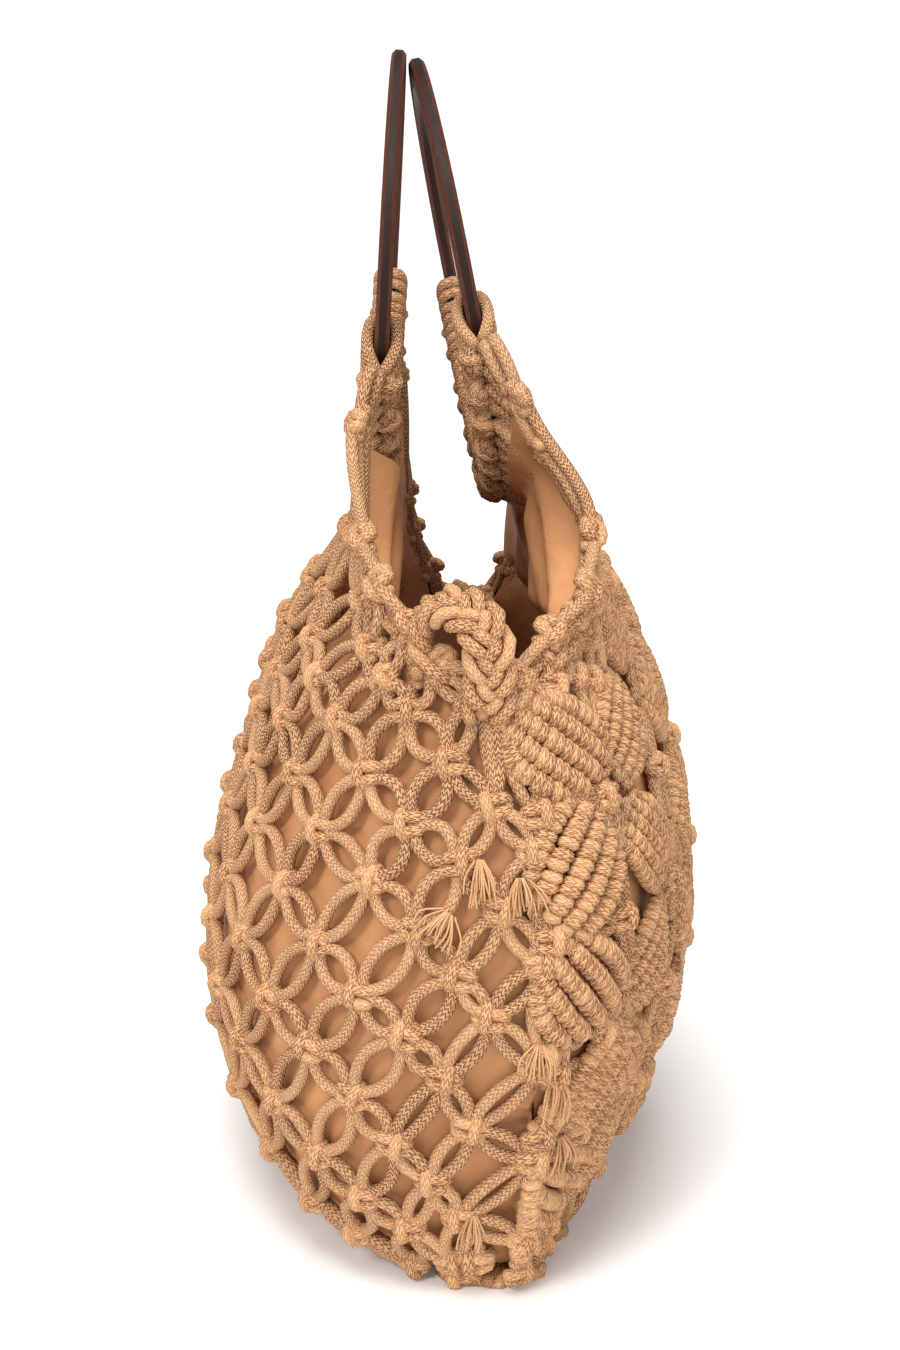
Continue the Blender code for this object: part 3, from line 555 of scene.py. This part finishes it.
def knot_cords(centre, side, up, out, mirror, size=1.0):
    """A square knot: two bars across the front, a bight over them and two cores."""
    turn = -1.0 if mirror else 1.0
    routes = (
        ((-5.0, 0.8, -1.4), (-4.3, 2.2, 0.6), (-2.0, 2.5, 1.6), (0.4, 2.4, 1.2), (3.4, 2.0, 1.0), (4.6, 1.2, -0.4), (4.9, 0.2, -1.8)),
        ((-4.8, -0.6, -1.4), (-4.2, -2.1, 0.6), (-2.0, -2.4, 1.6), (0.4, -2.4, 1.2), (3.4, -2.2, 1.0), (4.6, -1.4, -0.4), (5.0, -0.5, -1.8)),
        ((1.9, 4.4, -1.8), (1.9, 4.0, 1.0), (1.7, 2.2, 3.2), (1.6, 0.0, 3.6), (1.5, -2.2, 3.2), (1.4, -4.0, 1.0), (1.3, -4.4, -1.8)),
        ((-1.6, 5.2, -0.8), (-1.3, 2.5, -0.4), (-1.2, 0.0, -0.4), (-1.3, -2.5, -0.4), (-1.6, -5.2, -0.8)),
    )
    cords = []
    for route in routes:
        points = []
        for along_side, along_up, along_out in route:
            shift = side * (along_side * turn) + up * along_up + out * along_out
            points.append(centre + shift * (0.001 * size))
        cords.append((smooth_line(points, 0.0024 * size), CORD_RADIUS * size * 0.95))
    return cords


for ring in (back_ring, front_ring):
    left, right = (math.radians(end) - SLEEVE_SHORT for end in ring["ends"])
    count = round((left + right) * RING_RADIUS / LOOP_SPACING)
    inner = RING_RADIUS - RING_BREADTH
    face = RING_THICKNESS / 2 + CORD_RADIUS + 0.0002
    profile = (
        (RING_RADIUS + 0.0068, 0.0016),
        (RING_RADIUS + 0.0030, 0.0036),
        (RING_RADIUS - 0.0020, face),
        (inner + 0.0030, face),
        (inner - 0.0012, face * 0.74),
        (inner - CORD_RADIUS - 0.0002, 0.0),
        (inner - 0.0012, -face * 0.74),
        (inner + 0.0030, -face),
        (RING_RADIUS - 0.0020, -face),
        (RING_RADIUS + 0.0030, -0.0036),
        (RING_RADIUS + 0.0068, -0.0016),
    )
    cords = []
    for index in range(count + 1):
        angle = -left + (left + right) * index / count
        share = angle / (left if angle < 0 else right)
        fold = SLEEVE_LEAN * share * abs(share) + math.copysign(LIP_LEAN if index in (0, 1, count - 1, count) else 0.0, angle)
        sway = chance.normal(0.0, 0.006)
        points = []
        for step, (radius, lift) in enumerate(profile):
            rise = (RING_RADIUS + 0.0068 - radius) / (RING_BREADTH + 0.0068)
            points.append(on_ring(ring, radius, angle + fold * rise + sway * (step - 5) / 5, lift))
        cords.append((smooth_line(points, 0.0030), CORD_RADIUS))
    for index in range(count // 3 + 1):
        angle = -left + (left + right) * (index + 0.5) / (count // 3 + 1)
        across = Vector((math.cos(angle), 0.0, 0.0)) - ring["down"] * math.sin(angle)
        across.normalize()
        outwards = (on_ring(ring, RING_RADIUS, angle, 0.0) - ring["centre"]).normalized()
        for lift in (1, -1):
            centre = on_ring(ring, RING_RADIUS + 0.0045, angle, 0.0030 * lift)
            cords += knot_cords(centre, across, -outwards, ring["out"] * lift, index % 2 == 0, 1.05)
    node = ring["node"].replace("ring", "sleeve")
    add_piece(node + "_cords", cord_mesh(node, cords, 2), cotton_cord, "cotton_cord", node)

# The back panel: an open net of alternating square knots. From each knot two
# cords go down to the left and two down to the right, and they bow apart, so
# every link is an almond. The rows sag towards the middle of the bag.
CORD_DEPTH = 0.0025
LINK_BOW = 0.0046
KNOT_END = 0.0034
NET_STEPS = 20
RIM_ROWS = 4
# Each row's height along the cloth, at the side seams and in the middle.
NET_ROWS = (
    (0.340, 0.345),
    (0.320, 0.301),
    (0.299, 0.275),
    (0.280, 0.249),
    (0.2635, 0.233),
    (0.2447, 0.2136),
    (0.228, 0.193),
    (0.2142, 0.170),
    (0.195, 0.148),
    (0.177, 0.1244),
    (0.159, 0.105),
    (0.1407, 0.080),
    (0.1174, 0.056),
    (0.0983, 0.030),
    (0.0783, 0.0148),
    (0.055, -0.008),
)
SEAM_ACROSS = 0.98
SEAM_TOP = 0.231
SEAM_PITCH = 0.0185


def net_across(row, step):
    """Where a knot of the net stands across the panel."""
    share = step / (NET_STEPS / 2) - 1
    if row >= RIM_ROWS:
        spread = 0.015 * max(row - 5, 0) * math.sin(math.pi * abs(share)) if row > 6 else 0.0
        return 1.025 * share - 0.075 * share ** 5 + math.copysign(spread, share)
    reach = 1 - (RIM_ROWS - row) / (NET_STEPS / 2)
    share = share / reach
    return math.copysign(abs(share) ** 1.15, share)


def net_along(row, across):
    """How high a row of knots is there."""
    seam, middle = NET_ROWS[row]
    return middle + (seam - middle) * (1 - math.sin(math.pi / 2 * (1 - min(abs(across), 1.0))))


def knot_spot(row, step):
    """A knot's panel and place: the outermost ones of odd rows close the seam."""
    if step < 0 or step > NET_STEPS:
        side = -1 if step < 0 else 1
        return front_panel, side * SEAM_ACROSS, SEAM_TOP - SEAM_PITCH * (row - RIM_ROWS - 1)
    across = net_across(row, step)
    return back_panel, across, net_along(row, across)


def bowed_cords(start, end, out, bow, spread):
    """Two cords side by side between two places, bowed apart."""
    reach = end - start
    sideways = reach.cross(out).normalized()
    trim = reach.normalized() * min(KNOT_END, reach.length * 0.3)
    cords = []
    for side in (-1, 1):
        points = []
        wave = bow * (1 + chance.normal(0.0, 0.12)) * min(1.0, reach.length / 0.024)
        for share in (0.0, 0.2, 0.5, 0.8, 1.0):
            middle = (start + trim) * (1 - share) + (end - trim) * share
            away = spread + wave * math.sin(math.pi * share) ** 0.8
            points.append(middle + sideways * (side * away) + out * (0.0006 * math.sin(math.pi * share)))
        cords.append((smooth_line(points, 0.0028), CORD_RADIUS))
    return cords


def panel_link(first, second, bow=LINK_BOW, spread=0.0012):
    """A link between two places given as panel, across, along."""
    start = on_panel(*first, -CORD_DEPTH)
    end = on_panel(*second, -CORD_DEPTH)
    out = (read_grid(first[0], "outward", *first[1:]) + read_grid(second[0], "outward", *second[1:])).normalized()
    if min(abs(first[1]), abs(second[1])) > 0.84:
        bow *= 0.55
    return bowed_cords(start, end, out, bow, spread)


def panel_knot(panel, across, along, mirror, size=1.0, lift=0.0):
    """A square knot that lies on a panel, turned a little by chance."""
    side, up, out = panel_directions(panel, across, along)
    tilt = chance.normal(0.0, 0.12)
    turned_side = side * math.cos(tilt) + up * math.sin(tilt)
    turned_up = up * math.cos(tilt) - side * math.sin(tilt)
    centre = on_panel(panel, across, along, lift - CORD_DEPTH)
    return knot_cords(centre, turned_side, turned_up, out, mirror, size)


links = []
knots = []
LOWEST = 0.012
for row in range(len(NET_ROWS)):
    first = RIM_ROWS - row if row < RIM_ROWS else row % 2
    steps = range(first, NET_STEPS - first + 1, 2)
    if row > RIM_ROWS and row % 2:
        steps = range(-1, NET_STEPS + 2, 2)
    for step in steps:
        spot = knot_spot(row, step)
        if row == RIM_ROWS + 1 and not 0 <= step <= NET_STEPS:
            continue
        if spot[2] > LOWEST and not (row < RIM_ROWS and step in (first, NET_STEPS - first)):
            knots += panel_knot(*spot, (row // 2 + step) % 2 == 0)
        if row + 1 == len(NET_ROWS) or spot[2] <= LOWEST:
            continue
        for beside in (step - 1, step + 1):
            if row == RIM_ROWS and not 0 <= beside <= NET_STEPS:
                continue
            lower_rim = row + 1 > RIM_ROWS and (row + 1) % 2
            low_end = -1 if lower_rim else max(RIM_ROWS - row - 1, 0)
            if low_end <= beside <= NET_STEPS - low_end:
                below = knot_spot(row + 1, beside)
                links += panel_link(spot, (below[0], below[1], max(below[2], 0.004)))
# At each end one seam knot is missing: its cords run on to the knot below.
for side in (-1, 1):
    for spot in ((0.960, 0.050), (0.930, 0.034), (0.890, 0.022), (0.975, 0.022), (0.955, 0.012)):
        knots += panel_knot(back_panel, side * spot[0], spot[1], side > 0, 1.15)
    for cord in range(4):
        points = []
        for share in (0.0, 0.3, 0.7, 1.0):
            across = side * (0.965 - 0.009 * share + 0.007 * (cord - 1) * math.sin(math.pi * share) + 0.002 * cord)
            lift = -CORD_DEPTH + 0.0008 * (cord % 2) * math.sin(math.pi * share)
            points.append(on_panel(back_panel, across, 0.2618 - 0.0314 * share, lift))
        links.append((smooth_line(points, 0.003), CORD_RADIUS))
# Two cords run along the bottom, where the two panels are laced together.
for panel in (back_panel, front_panel):
    points = []
    for index in range(61):
        across = -0.985 + 1.97 * index / 60
        point = on_panel(panel, across, 0.0065 + 0.0015 * math.sin(index * 1.9), -0.0005)
        point.z = max(point.z, CORD_RADIUS + 0.0003)
        points.append(point)
    links.append((smooth_line(points, 0.004), CORD_RADIUS))
top_row = range(RIM_ROWS, NET_STEPS - RIM_ROWS + 1, 2)
for index, step in enumerate(top_row):
    spot = knot_spot(0, step)
    for cord in range(4):
        share = (index * 4 + cord + 0.5) / (len(top_row) * 4)
        top = -1 + 2 * share
        points = []
        for rise in (0.0, 0.35, 0.7, 1.0):
            across = spot[1] + (top - spot[1]) * rise ** 0.8
            along = spot[2] + (back_panel["length"] - 0.001 - spot[2]) * rise
            points.append(on_panel(back_panel, across, along, -CORD_DEPTH * 0.8))
        links.append((smooth_line(points, 0.004), CORD_RADIUS))
add_piece("net_links", cord_mesh("net_links", links, 2), cotton_cord, "cotton_cord", "net_back")
add_piece("net_knots", cord_mesh("net_knots", knots, 2), tight_cord, "cotton_cord")

# The front panel: leaves of wound ribs. Each rib is a cord wound tightly with
# a second one in double half hitches, and five ribs side by side make a leaf.
# The leaves lean left and right in turn, with small square knots between.
LEAF_PITCH = 0.0405
LEAF_TOP_ROW = 0.228
LEAF_ROWS = 5
LEAF_COLUMNS = 8
SHOULDER_LEAVES = 6
RIB_PITCH = 0.0068
RIB_COUNT = 5
RIB_LENGTH = 0.035
WRAP_PITCH = 0.0034
WRAP_RADIUS = 0.0021
WRAP_REACH = 0.0016
LEAF_LIFT = -0.0024
END_LEAF_SIZE = 1.2
SHOULDER_NET_ROWS = 4
SHOULDER_NET_FOOT = 0.254
SHOULDER_NET_PITCH = 0.0160
SHOULDER_NET_STEP = 0.115

wraps = []
rib_cords = []
front_knots = []
leaf_corners = {}


def leaf_point(centre, side, up, out, along_rib, across_rib, lift):
    """A place on a leaf, measured along and across its ribs."""
    return centre + side * along_rib + up * across_rib + out * lift


def add_leaf(across, along, rising, size):
    """One leaf: wound ribs, the turns at their ends and its four corners."""
    lean = math.radians(44.0 if rising else -44.0) + chance.normal(0.0, 0.05)
    panel_side, panel_up, _ = panel_directions(front_panel, across, along)
    width = (on_panel(front_panel, across + 0.05, along) - on_panel(front_panel, across - 0.05, along)).length / 0.1
    height_scale = (on_panel(front_panel, across, along + 0.01) - on_panel(front_panel, across, along - 0.01)).length / 0.02

    def spot(along_rib, across_rib, lift):
        right = along_rib * math.cos(lean) - across_rib * math.sin(lean)
        rise = along_rib * math.sin(lean) + across_rib * math.cos(lean)
        place = (across + right / width, along + rise / height_scale)
        return on_panel(front_panel, *place, lift)

    ends = []
    for rib in range(RIB_COUNT):
        offset = rib - (RIB_COUNT - 1) / 2
        half_length = RIB_LENGTH * size / 2 * (1 - 0.055 * offset * offset)
        slide = 0.0012 * size * offset
        line = []
        steps = 9
        for step in range(steps + 1):
            share = -1 + 2 * step / steps
            pinch = 1 - 0.17 * share * share
            crown = 0.0022 * (1 - (offset / 3.2) ** 2) * (1 - 0.8 * share * share)
            line.append(spot(slide + half_length * share, offset * RIB_PITCH * size * pinch, LEAF_LIFT + crown))
        line = smooth_line(line, WRAP_PITCH / 2)
        rib_cords.append((line, WRAP_REACH * size + 0.0008))
        ends.append((line[0], line[-1]))
        length = sum((b - a).length for a, b in zip(line, line[1:]))
        count = round(length / WRAP_PITCH)
        out = read_grid(front_panel, "outward", across, along).normalized()
        for wrap in range(count):
            place = (wrap + 0.5 + (0.06 if wrap % 2 else -0.06)) / count * (len(line) - 1)
            index = min(int(place), len(line) - 2)
            centre = line[index].lerp(line[index + 1], place - index)
            forward = (line[index + 1] - line[index]).normalized()
            sideways = forward.cross(out).normalized()
            lifted = sideways.cross(forward).normalized()
            swell = 1 + chance.normal(0.0, 0.025) - (0.12 if wrap in (0, count - 1) else 0.0)
            points = []
            for angle in (-118, -80, -40, 0, 40, 80, 118):
                bend = math.radians(angle)
                reach = (sideways * math.sin(bend) + lifted * math.cos(bend)) * (WRAP_REACH * size * swell)
                points.append(centre + reach + forward * (0.0005 * math.sin(bend)))
            wraps.append((points, WRAP_RADIUS * size ** 0.5 * swell))
    for (first, first_end), (second, second_end) in zip(ends, ends[1:]):
        for start, end in ((first, second), (first_end, second_end)):
            middle = (start + end) / 2
            away = (middle - on_panel(front_panel, across, along)).normalized()
            points = [start, start.lerp(middle, 0.5) + away * 0.0028, middle + away * 0.0036]
            points += [end.lerp(middle, 0.5) + away * 0.0028, end]
            rib_cords.append((smooth_line(points, 0.003), CORD_RADIUS * 0.85))
    return [ends[0][0], ends[-1][0], ends[0][1], ends[-1][1]]


leaf_ends = []
knot_places = []
for row in range(-1, LEAF_ROWS):
    columns = LEAF_COLUMNS if row >= 0 else SHOULDER_LEAVES
    along = LEAF_TOP_ROW - LEAF_PITCH * row
    for column in range(columns):
        if row < 0 and column in (0, columns - 1):
            continue
        across = -1 + 2 * (column + 0.5) / columns
        if row == 3 and column in (0, columns - 1):
            across *= 0.83
        leaf_ends += add_leaf(across, along, (column + row) % 2 == 1, END_LEAF_SIZE if column in (0, columns - 1) else 1.0)
    for boundary in range(1, columns):
        across = -1 + 2 * boundary / columns
        knot_places.append((across, along - LEAF_PITCH / 2))
        if row < 0:
            knot_places.append((across, along + LEAF_PITCH / 2))
for row in range(LEAF_ROWS + 1):
    knot_places.append((-0.955, LEAF_TOP_ROW + 0.018 - LEAF_PITCH * row))
    knot_places.append((0.955, LEAF_TOP_ROW + 0.018 - LEAF_PITCH * row))
for side in (-1, 1):
    knot_places += [(side * 0.90, 0.117), (side * 0.86, 0.101), (side * 0.93, 0.093)]
bottom_row = LEAF_TOP_ROW - LEAF_PITCH * (LEAF_ROWS - 0.5)
for column in range(LEAF_COLUMNS * 2 + 1):
    knot_places.append(((-1 + column / LEAF_COLUMNS) * 0.97, bottom_row - 0.019 - 0.012 * (column % 2)))
for index, (across, along) in enumerate(knot_places):
    front_knots += panel_knot(front_panel, across, along, index % 2 == 0, 1.0, 0.0008)
    centre = on_panel(front_panel, across, along, -CORD_DEPTH)
    out = read_grid(front_panel, "outward", across, along).normalized()
    near = sorted(leaf_ends, key=lambda end: (end - centre).length)[:4]
    for end in near:
        if 0.004 < (end - centre).length < 0.030:
            rib_cords += bowed_cords(centre, end - out * 0.001, out, 0.0012, 0.0016)
    others = sorted(knot_places, key=lambda other: (on_panel(front_panel, *other) - centre).length)[1:4]
    for other in others:
        start = on_panel(front_panel, *other, -CORD_DEPTH)
        below = min(along, other[1]) < bottom_row
        if below and other > (across, along) and (start - centre).length < 0.034:
            rib_cords += bowed_cords(centre, start, out, 0.0025, 0.0014)

# Beside the topmost leaves, under the rims, the panel is an open net.
upper_rows = ((0.322, 6, 0.0), (0.350, 7, 0.0))
previous = [(-1 + 2 * boundary / SHOULDER_LEAVES, LEAF_TOP_ROW + 1.5 * LEAF_PITCH) for boundary in range(1, 6)]
for side in (-1, 1):
    net = []
    for row in range(SHOULDER_NET_ROWS):
        outer = 0.945 - SHOULDER_NET_STEP / 2 * (row % 2)
        along = SHOULDER_NET_FOOT + SHOULDER_NET_PITCH * row
        net.append([(side * (outer - SHOULDER_NET_STEP * step), along) for step in range(3)])
    for lower, upper in zip(net, net[1:]):
        for start in lower:
            for end in upper:
                if abs(start[0] - end[0]) < SHOULDER_NET_STEP * 0.7:
                    rib_cords += panel_link((front_panel, *start), (front_panel, *end), 0.0034)
    for spot in net[0]:
        centre = on_panel(front_panel, *spot, -CORD_DEPTH)
        out = read_grid(front_panel, "outward", *spot).normalized()
        for end in sorted(leaf_ends, key=lambda end: (end - centre).length)[:2]:
            if (end - centre).length < 0.022:
                rib_cords += bowed_cords(centre, end - out * 0.001, out, 0.002, 0.0016)
    for index, spot in enumerate(spot for line in net for spot in line):
        front_knots += panel_knot(front_panel, *spot, index % 2 == 0)
    previous += net[-1]
for along, count, _ in upper_rows:
    here = [(-0.93 + 1.86 * index / (count - 1), along) for index in range(count)]
    for index, spot in enumerate(here):
        front_knots += panel_knot(front_panel, *spot, index % 2 == 0)
        for other in sorted(previous, key=lambda place: abs(place[0] - spot[0]))[:2]:
            rib_cords += panel_link((front_panel, *spot), (front_panel, *other), 0.003)
    previous = here
for index, spot in enumerate(previous):
    for cord in range(4):
        share = (index * 4 + cord + 0.5) / (len(previous) * 4)
        top = -1 + 2 * share
        points = []
        for rise in (0.0, 0.35, 0.7, 1.0):
            across = spot[0] + (top - spot[0]) * rise ** 0.8
            along = spot[1] + (front_panel["length"] - 0.001 - spot[1]) * rise
            points.append(on_panel(front_panel, across, along, -CORD_DEPTH * 0.8))
        rib_cords.append((smooth_line(points, 0.004), CORD_RADIUS))

half = len(wraps) // 2
add_piece("leaf_wraps_upper", cord_mesh("leaf_wraps_upper", wraps[:half], 1), tight_cord, "cotton_cord", "leaf_front")
add_piece("leaf_wraps_lower", cord_mesh("leaf_wraps_lower", wraps[half:], 1), tight_cord, "cotton_cord")
add_piece("leaf_cores", cord_mesh("leaf_cores", rib_cords, 1), cotton_cord, "cotton_cord")
add_piece("leaf_knots", cord_mesh("leaf_knots", front_knots, 2), tight_cord, "cotton_cord")

# The rims of the two side openings: the outermost two cords of each panel run
# down together from the ring to the low point, held by a knot wherever a row
# of the net or of the leaves ends.
RIM_TWIST = 2.5
BACK_RIM_KNOTS = (0.381, 0.340, 0.320, 0.299, 0.280, 0.266)
FRONT_RIM_KNOTS = (0.368, 0.316, 0.297, 0.277, 0.257)


def rim_point(panel, side, along):
    """The middle line of a rim, just outside the panel's edge."""
    edge = on_panel(panel, side, along, -PANEL_WALL / 2)
    ahead = on_panel(panel, side, along + 0.002, -PANEL_WALL / 2)
    out = read_grid(panel, "outward", side, along).normalized()
    away = (ahead - edge).cross(out).normalized()
    if away.dot(on_panel(panel, side * 0.8, along) - edge) > 0:
        away = -away
    return edge + away * 0.0035, (ahead - edge).normalized(), away, out


rim_knots = []
for side, node in ((-1, "rim_left"), (1, "rim_right")):
    cords = []
    for panel, knot_rows in ((back_panel, BACK_RIM_KNOTS), (front_panel, FRONT_RIM_KNOTS)):
        start = panel["rim_start"] - 0.002
        stops = [panel["length"] - 0.004, *knot_rows, start]
        for upper, lower in zip(stops, stops[1:]):
            count = max(3, round((upper - lower) / 0.004))
            twist = RIM_TWIST if lower == start or upper == knot_rows[-1] else 0.25
            strands = (-1, 0, 1) if 0.035 < upper - lower < 0.045 else (-1, 1)
            for strand in strands:
                points = []
                for step in range(count + 1):
                    share = step / count
                    middle, forward, away, out = rim_point(panel, side, lower + (upper - lower) * share)
                    swell = (0.0020 + 0.0008 * math.sin(math.pi * share)) * strand * len(strands) / 2
                    turn = math.pi * twist * share
                    points.append(middle + (away * math.cos(turn) + out * math.sin(turn)) * swell)
                cords.append((smooth_line(points, 0.003), CORD_RADIUS))
        for index, along in enumerate(knot_rows):
            middle, forward, away, out = rim_point(panel, side, along)
            rim_knots += knot_cords(middle, away, forward, out, index % 2 == 0, 1.12)
    add_piece(node + "_cords", cord_mesh(node, cords, 2), cotton_cord, "cotton_cord", node)
add_piece("rim_knots", cord_mesh("rim_knots", rim_knots, 2), tight_cord, "cotton_cord")

# Frayed ends: where a cord was cut off at the side seam it has come undone
# into its thin yarns, which stand out a little from the cloth in a tuft.
YARN_RADIUS = 0.00038
# Each tuft's panel, then the root and the tip across and along it.
TUFTS = (
    (back_panel, -0.920, 0.2080, -0.919, 0.1900),
    (back_panel, -0.871, 0.1900, -0.848, 0.1785),
    (back_panel, -0.982, 0.2026, -0.984, 0.1875),
    (front_panel, -0.908, 0.1175, -0.929, 0.0980),
    (front_panel, -0.832, 0.0900, -0.836, 0.0740),
    (front_panel, -0.982, 0.1300, -0.980, 0.1170),
    (back_panel, -0.966, 0.0760, -0.966, 0.0610),
    (back_panel, 0.940, 0.1500, 0.944, 0.1350),
    (front_panel, 0.930, 0.1100, 0.936, 0.0930),
)
yarns = []
for panel, root_across, root_along, tip_across, tip_along in TUFTS:
    root = on_panel(panel, root_across, root_along, -0.0004)
    tip = on_panel(panel, tip_across, tip_along, 0.0030)
    out = read_grid(panel, "outward", root_across, root_along).normalized()
    fall = tip - root
    sideways = fall.cross(out).normalized()
    for strand in range(22):
        spread = chance.normal(0.0, 0.24)
        reach = 0.5 + 0.35 * chance.random()
        lift = 0.0030 * chance.random()
        start = root + sideways * (spread * 0.004) + out * (lift * 0.3)
        middle = start + fall * (0.5 * reach) + sideways * (spread * 0.009) + out * lift
        end = start + fall * reach + sideways * (spread * 0.010 + chance.normal(0.0, 0.0008)) + out * (lift * 0.6)
        yarns.append((smooth_line((start, middle, end), 0.0022), YARN_RADIUS))
cotton_yarn = cord_material("cotton_yarn", (0.52, 0.25, 0.11, 1.0), (0.78, 0.46, 0.24, 1.0), 0.0001)
add_piece("frayed_ends", cord_mesh("frayed_ends", yarns, 0), cotton_yarn, "cotton_cord")

# The braided loops that close the side openings: three strands of doubled
# cord in a flat braid. Each loop rises from its rim's low point, turns over
# towards the inside of the bag and comes back down.
LEFT_LOOP = (
    (-0.1680, -0.0100, 0.2165),
    (-0.1705, -0.0100, 0.2280),
    (-0.1710, -0.0098, 0.2380),
    (-0.1690, -0.0075, 0.2462),
    (-0.1640, -0.0020, 0.2510),
    (-0.1580, 0.0045, 0.2520),
    (-0.1530, 0.0105, 0.2480),
    (-0.1510, 0.0128, 0.2405),
    (-0.1515, 0.0126, 0.2325),
    (-0.1535, 0.0112, 0.2250),
)
RIGHT_LOOP = (
    (0.1630, -0.0060, 0.1990),
    (0.1620, -0.0015, 0.2050),
    (0.1590, 0.0000, 0.2105),
    (0.1545, -0.0050, 0.2160),
    (0.1490, -0.0130, 0.2172),
    (0.1445, -0.0215, 0.2140),
    (0.1410, -0.0260, 0.2060),
    (0.1390, -0.0260, 0.1980),
)
BRAID_PITCH = 0.0270
BRAID_HALF_WIDTH = 0.0050
BRAID_HALF_DEPTH = 0.0028

for name, route in (("loop_left", LEFT_LOOP), ("loop_right", RIGHT_LOOP)):
    line = smooth_line(route, 0.0012)
    end = -1 if name == "loop_left" else 1
    cords = []
    for strand in range(3):
        for pair in (-1, 1):
            points = []
            travelled = 0.0
            for index, point in enumerate(line):
                before = line[max(index - 1, 0)]
                after = line[min(index + 1, len(line) - 1)]
                forward = (after - before).normalized()
                share = index / (len(line) - 1)
                turned = min(max((share - 0.30) / 0.32, 0.0), 1.0)
                outward = Vector((end, 0.0, 0.2)).lerp(Vector((0.0, -end, 0.2)), turned)
                outward.z += 0.8 * math.sin(math.pi * share)
                outward -= forward * outward.dot(forward)
                outward.normalize()
                side = forward.cross(outward)
                travelled += (point - before).length
                turn = 2 * math.pi * (travelled / BRAID_PITCH + strand / 3)
                across = BRAID_HALF_WIDTH * math.sin(turn)
                lift = BRAID_HALF_DEPTH * math.sin(2 * turn)
                heading = Vector((math.cos(turn) * BRAID_HALF_WIDTH * 2 * math.pi / BRAID_PITCH, 1.0)).normalized()
                shift = pair * 0.0023
                points.append(point + side * (across + shift * heading.y) + outward * lift - forward * (shift * heading.x))
            cords.append((points[::2], 0.0023))
    add_piece(name + "_braid", cord_mesh(name, cords, 2), tight_cord, "cotton_cord", name)

# The lining: a pouch of thin tan satin sewn to the cord along the rims and the
# sleeves. It lies close behind the cord low down, and higher up it hangs
# nearly straight from the rings, in soft folds.
LINING_DEPTH = 0.0072
LINING_EDGE = 0.975
LINING_COLUMNS = 90
LINING_LEVELS = 90
FRONT_HANG = (-0.031, 0.242)
BACK_HANG = (0.021, 0.240)
HANG_SLOPE = 0.85

lining_satin, tree, shader = new_material(
    "lining_satin", Roughness=0.55, Specular_IOR_Level=0.12
)
place = add_node(tree, "ShaderNodeTexCoord").outputs["Object"]
# The satin's colour is mixed in broad patches between a darker and a lighter tan: painted sheen and shade.
painted_sheen_patches = add_node(tree, "ShaderNodeTexNoise", [("Vector", place), ("Scale", 28.0), ("Detail", 3.0)])
satin = blend_colours(tree, painted_sheen_patches.outputs["Fac"], (0.46, 0.200, 0.080, 1.0), (0.66, 0.340, 0.160, 1.0))
tree.links.new(satin, shader.inputs["Base Color"])
weave = add_node(tree, "ShaderNodeTexWave", [("Vector", place), ("Scale", 900.0), ("Distortion", 1.0)])
creases = add_node(tree, "ShaderNodeTexNoise", [("Vector", place), ("Scale", 60.0), ("Detail", 4.0), ("Distortion", 0.8)])
fine = add_node(tree, "ShaderNodeBump", [("Height", weave.outputs["Fac"]), ("Strength", 0.06), ("Distance", 0.0002)])
soft = add_node(
    tree, "ShaderNodeBump", [("Height", creases.outputs["Fac"]), ("Strength", 0.5), ("Distance", 0.003), ("Normal", fine.outputs[0])]
)
tree.links.new(soft.outputs[0], shader.inputs["Normal"])


def lining_point(panel, across, along):
    """The lining behind one panel, with its folds."""
    side = panel["ring"]["side"]
    share = min(max((along - panel["rim_start"]) / 0.05, 0.0), 1.0)
    reach = across * (1 - (1 - LINING_EDGE) * share)
    point = on_panel(panel, reach, along, -LINING_DEPTH + 0.003 * share)
    hang_y, hang_z = FRONT_HANG if side < 0 else BACK_HANG
    limit = abs(hang_y) + max(hang_z - point.z, 0.0) * HANG_SLOPE
    sewn = min(max((abs(across) - 0.66) / 0.20, 0.0), 1.0)
    over = (side * point.y - limit) * (1 - sewn * sewn * (3 - 2 * sewn))
    loose = min(max(over / 0.012, 0.0), 1.0)
    if over > 0:
        point.y -= side * over * 0.92
    fold = math.sin(across * 13.0 + along * 22.0) * 0.0024 + math.sin(across * 29.0 - along * 31.0) * 0.0011
    point.y -= side * fold * (0.25 + 0.75 * loose) * (1 - abs(across) ** 6) * min(along / 0.05, 1.0)
    return point


shape = bmesh.new()
for panel in (back_panel, front_panel):
    bmesh.ops.create_grid(shape, x_segments=LINING_COLUMNS, y_segments=LINING_LEVELS, size=1.0)
    fresh = shape.verts[-(LINING_COLUMNS + 1) * (LINING_LEVELS + 1):]
    for vertex in fresh:
        top = panel["length"] - 0.006 - 0.030 * abs(vertex.co.x) ** 3
        vertex.co = lining_point(panel, vertex.co.x, (vertex.co.y + 1) / 2 * top)
    if panel is front_panel:
        bmesh.ops.reverse_faces(shape, faces=shape.faces[-LINING_COLUMNS * LINING_LEVELS:])
bmesh.ops.remove_doubles(shape, verts=shape.verts, dist=0.0018)
for face in shape.faces:
    face.smooth = True
mesh = bpy.data.meshes.new("lining_satin")
shape.to_mesh(mesh)
cloth_area = sum(face.calc_area() for face in shape.faces)
shape.free()
lining = add_piece("lining_sheet", mesh, lining_satin, "satin_lining", "lining")
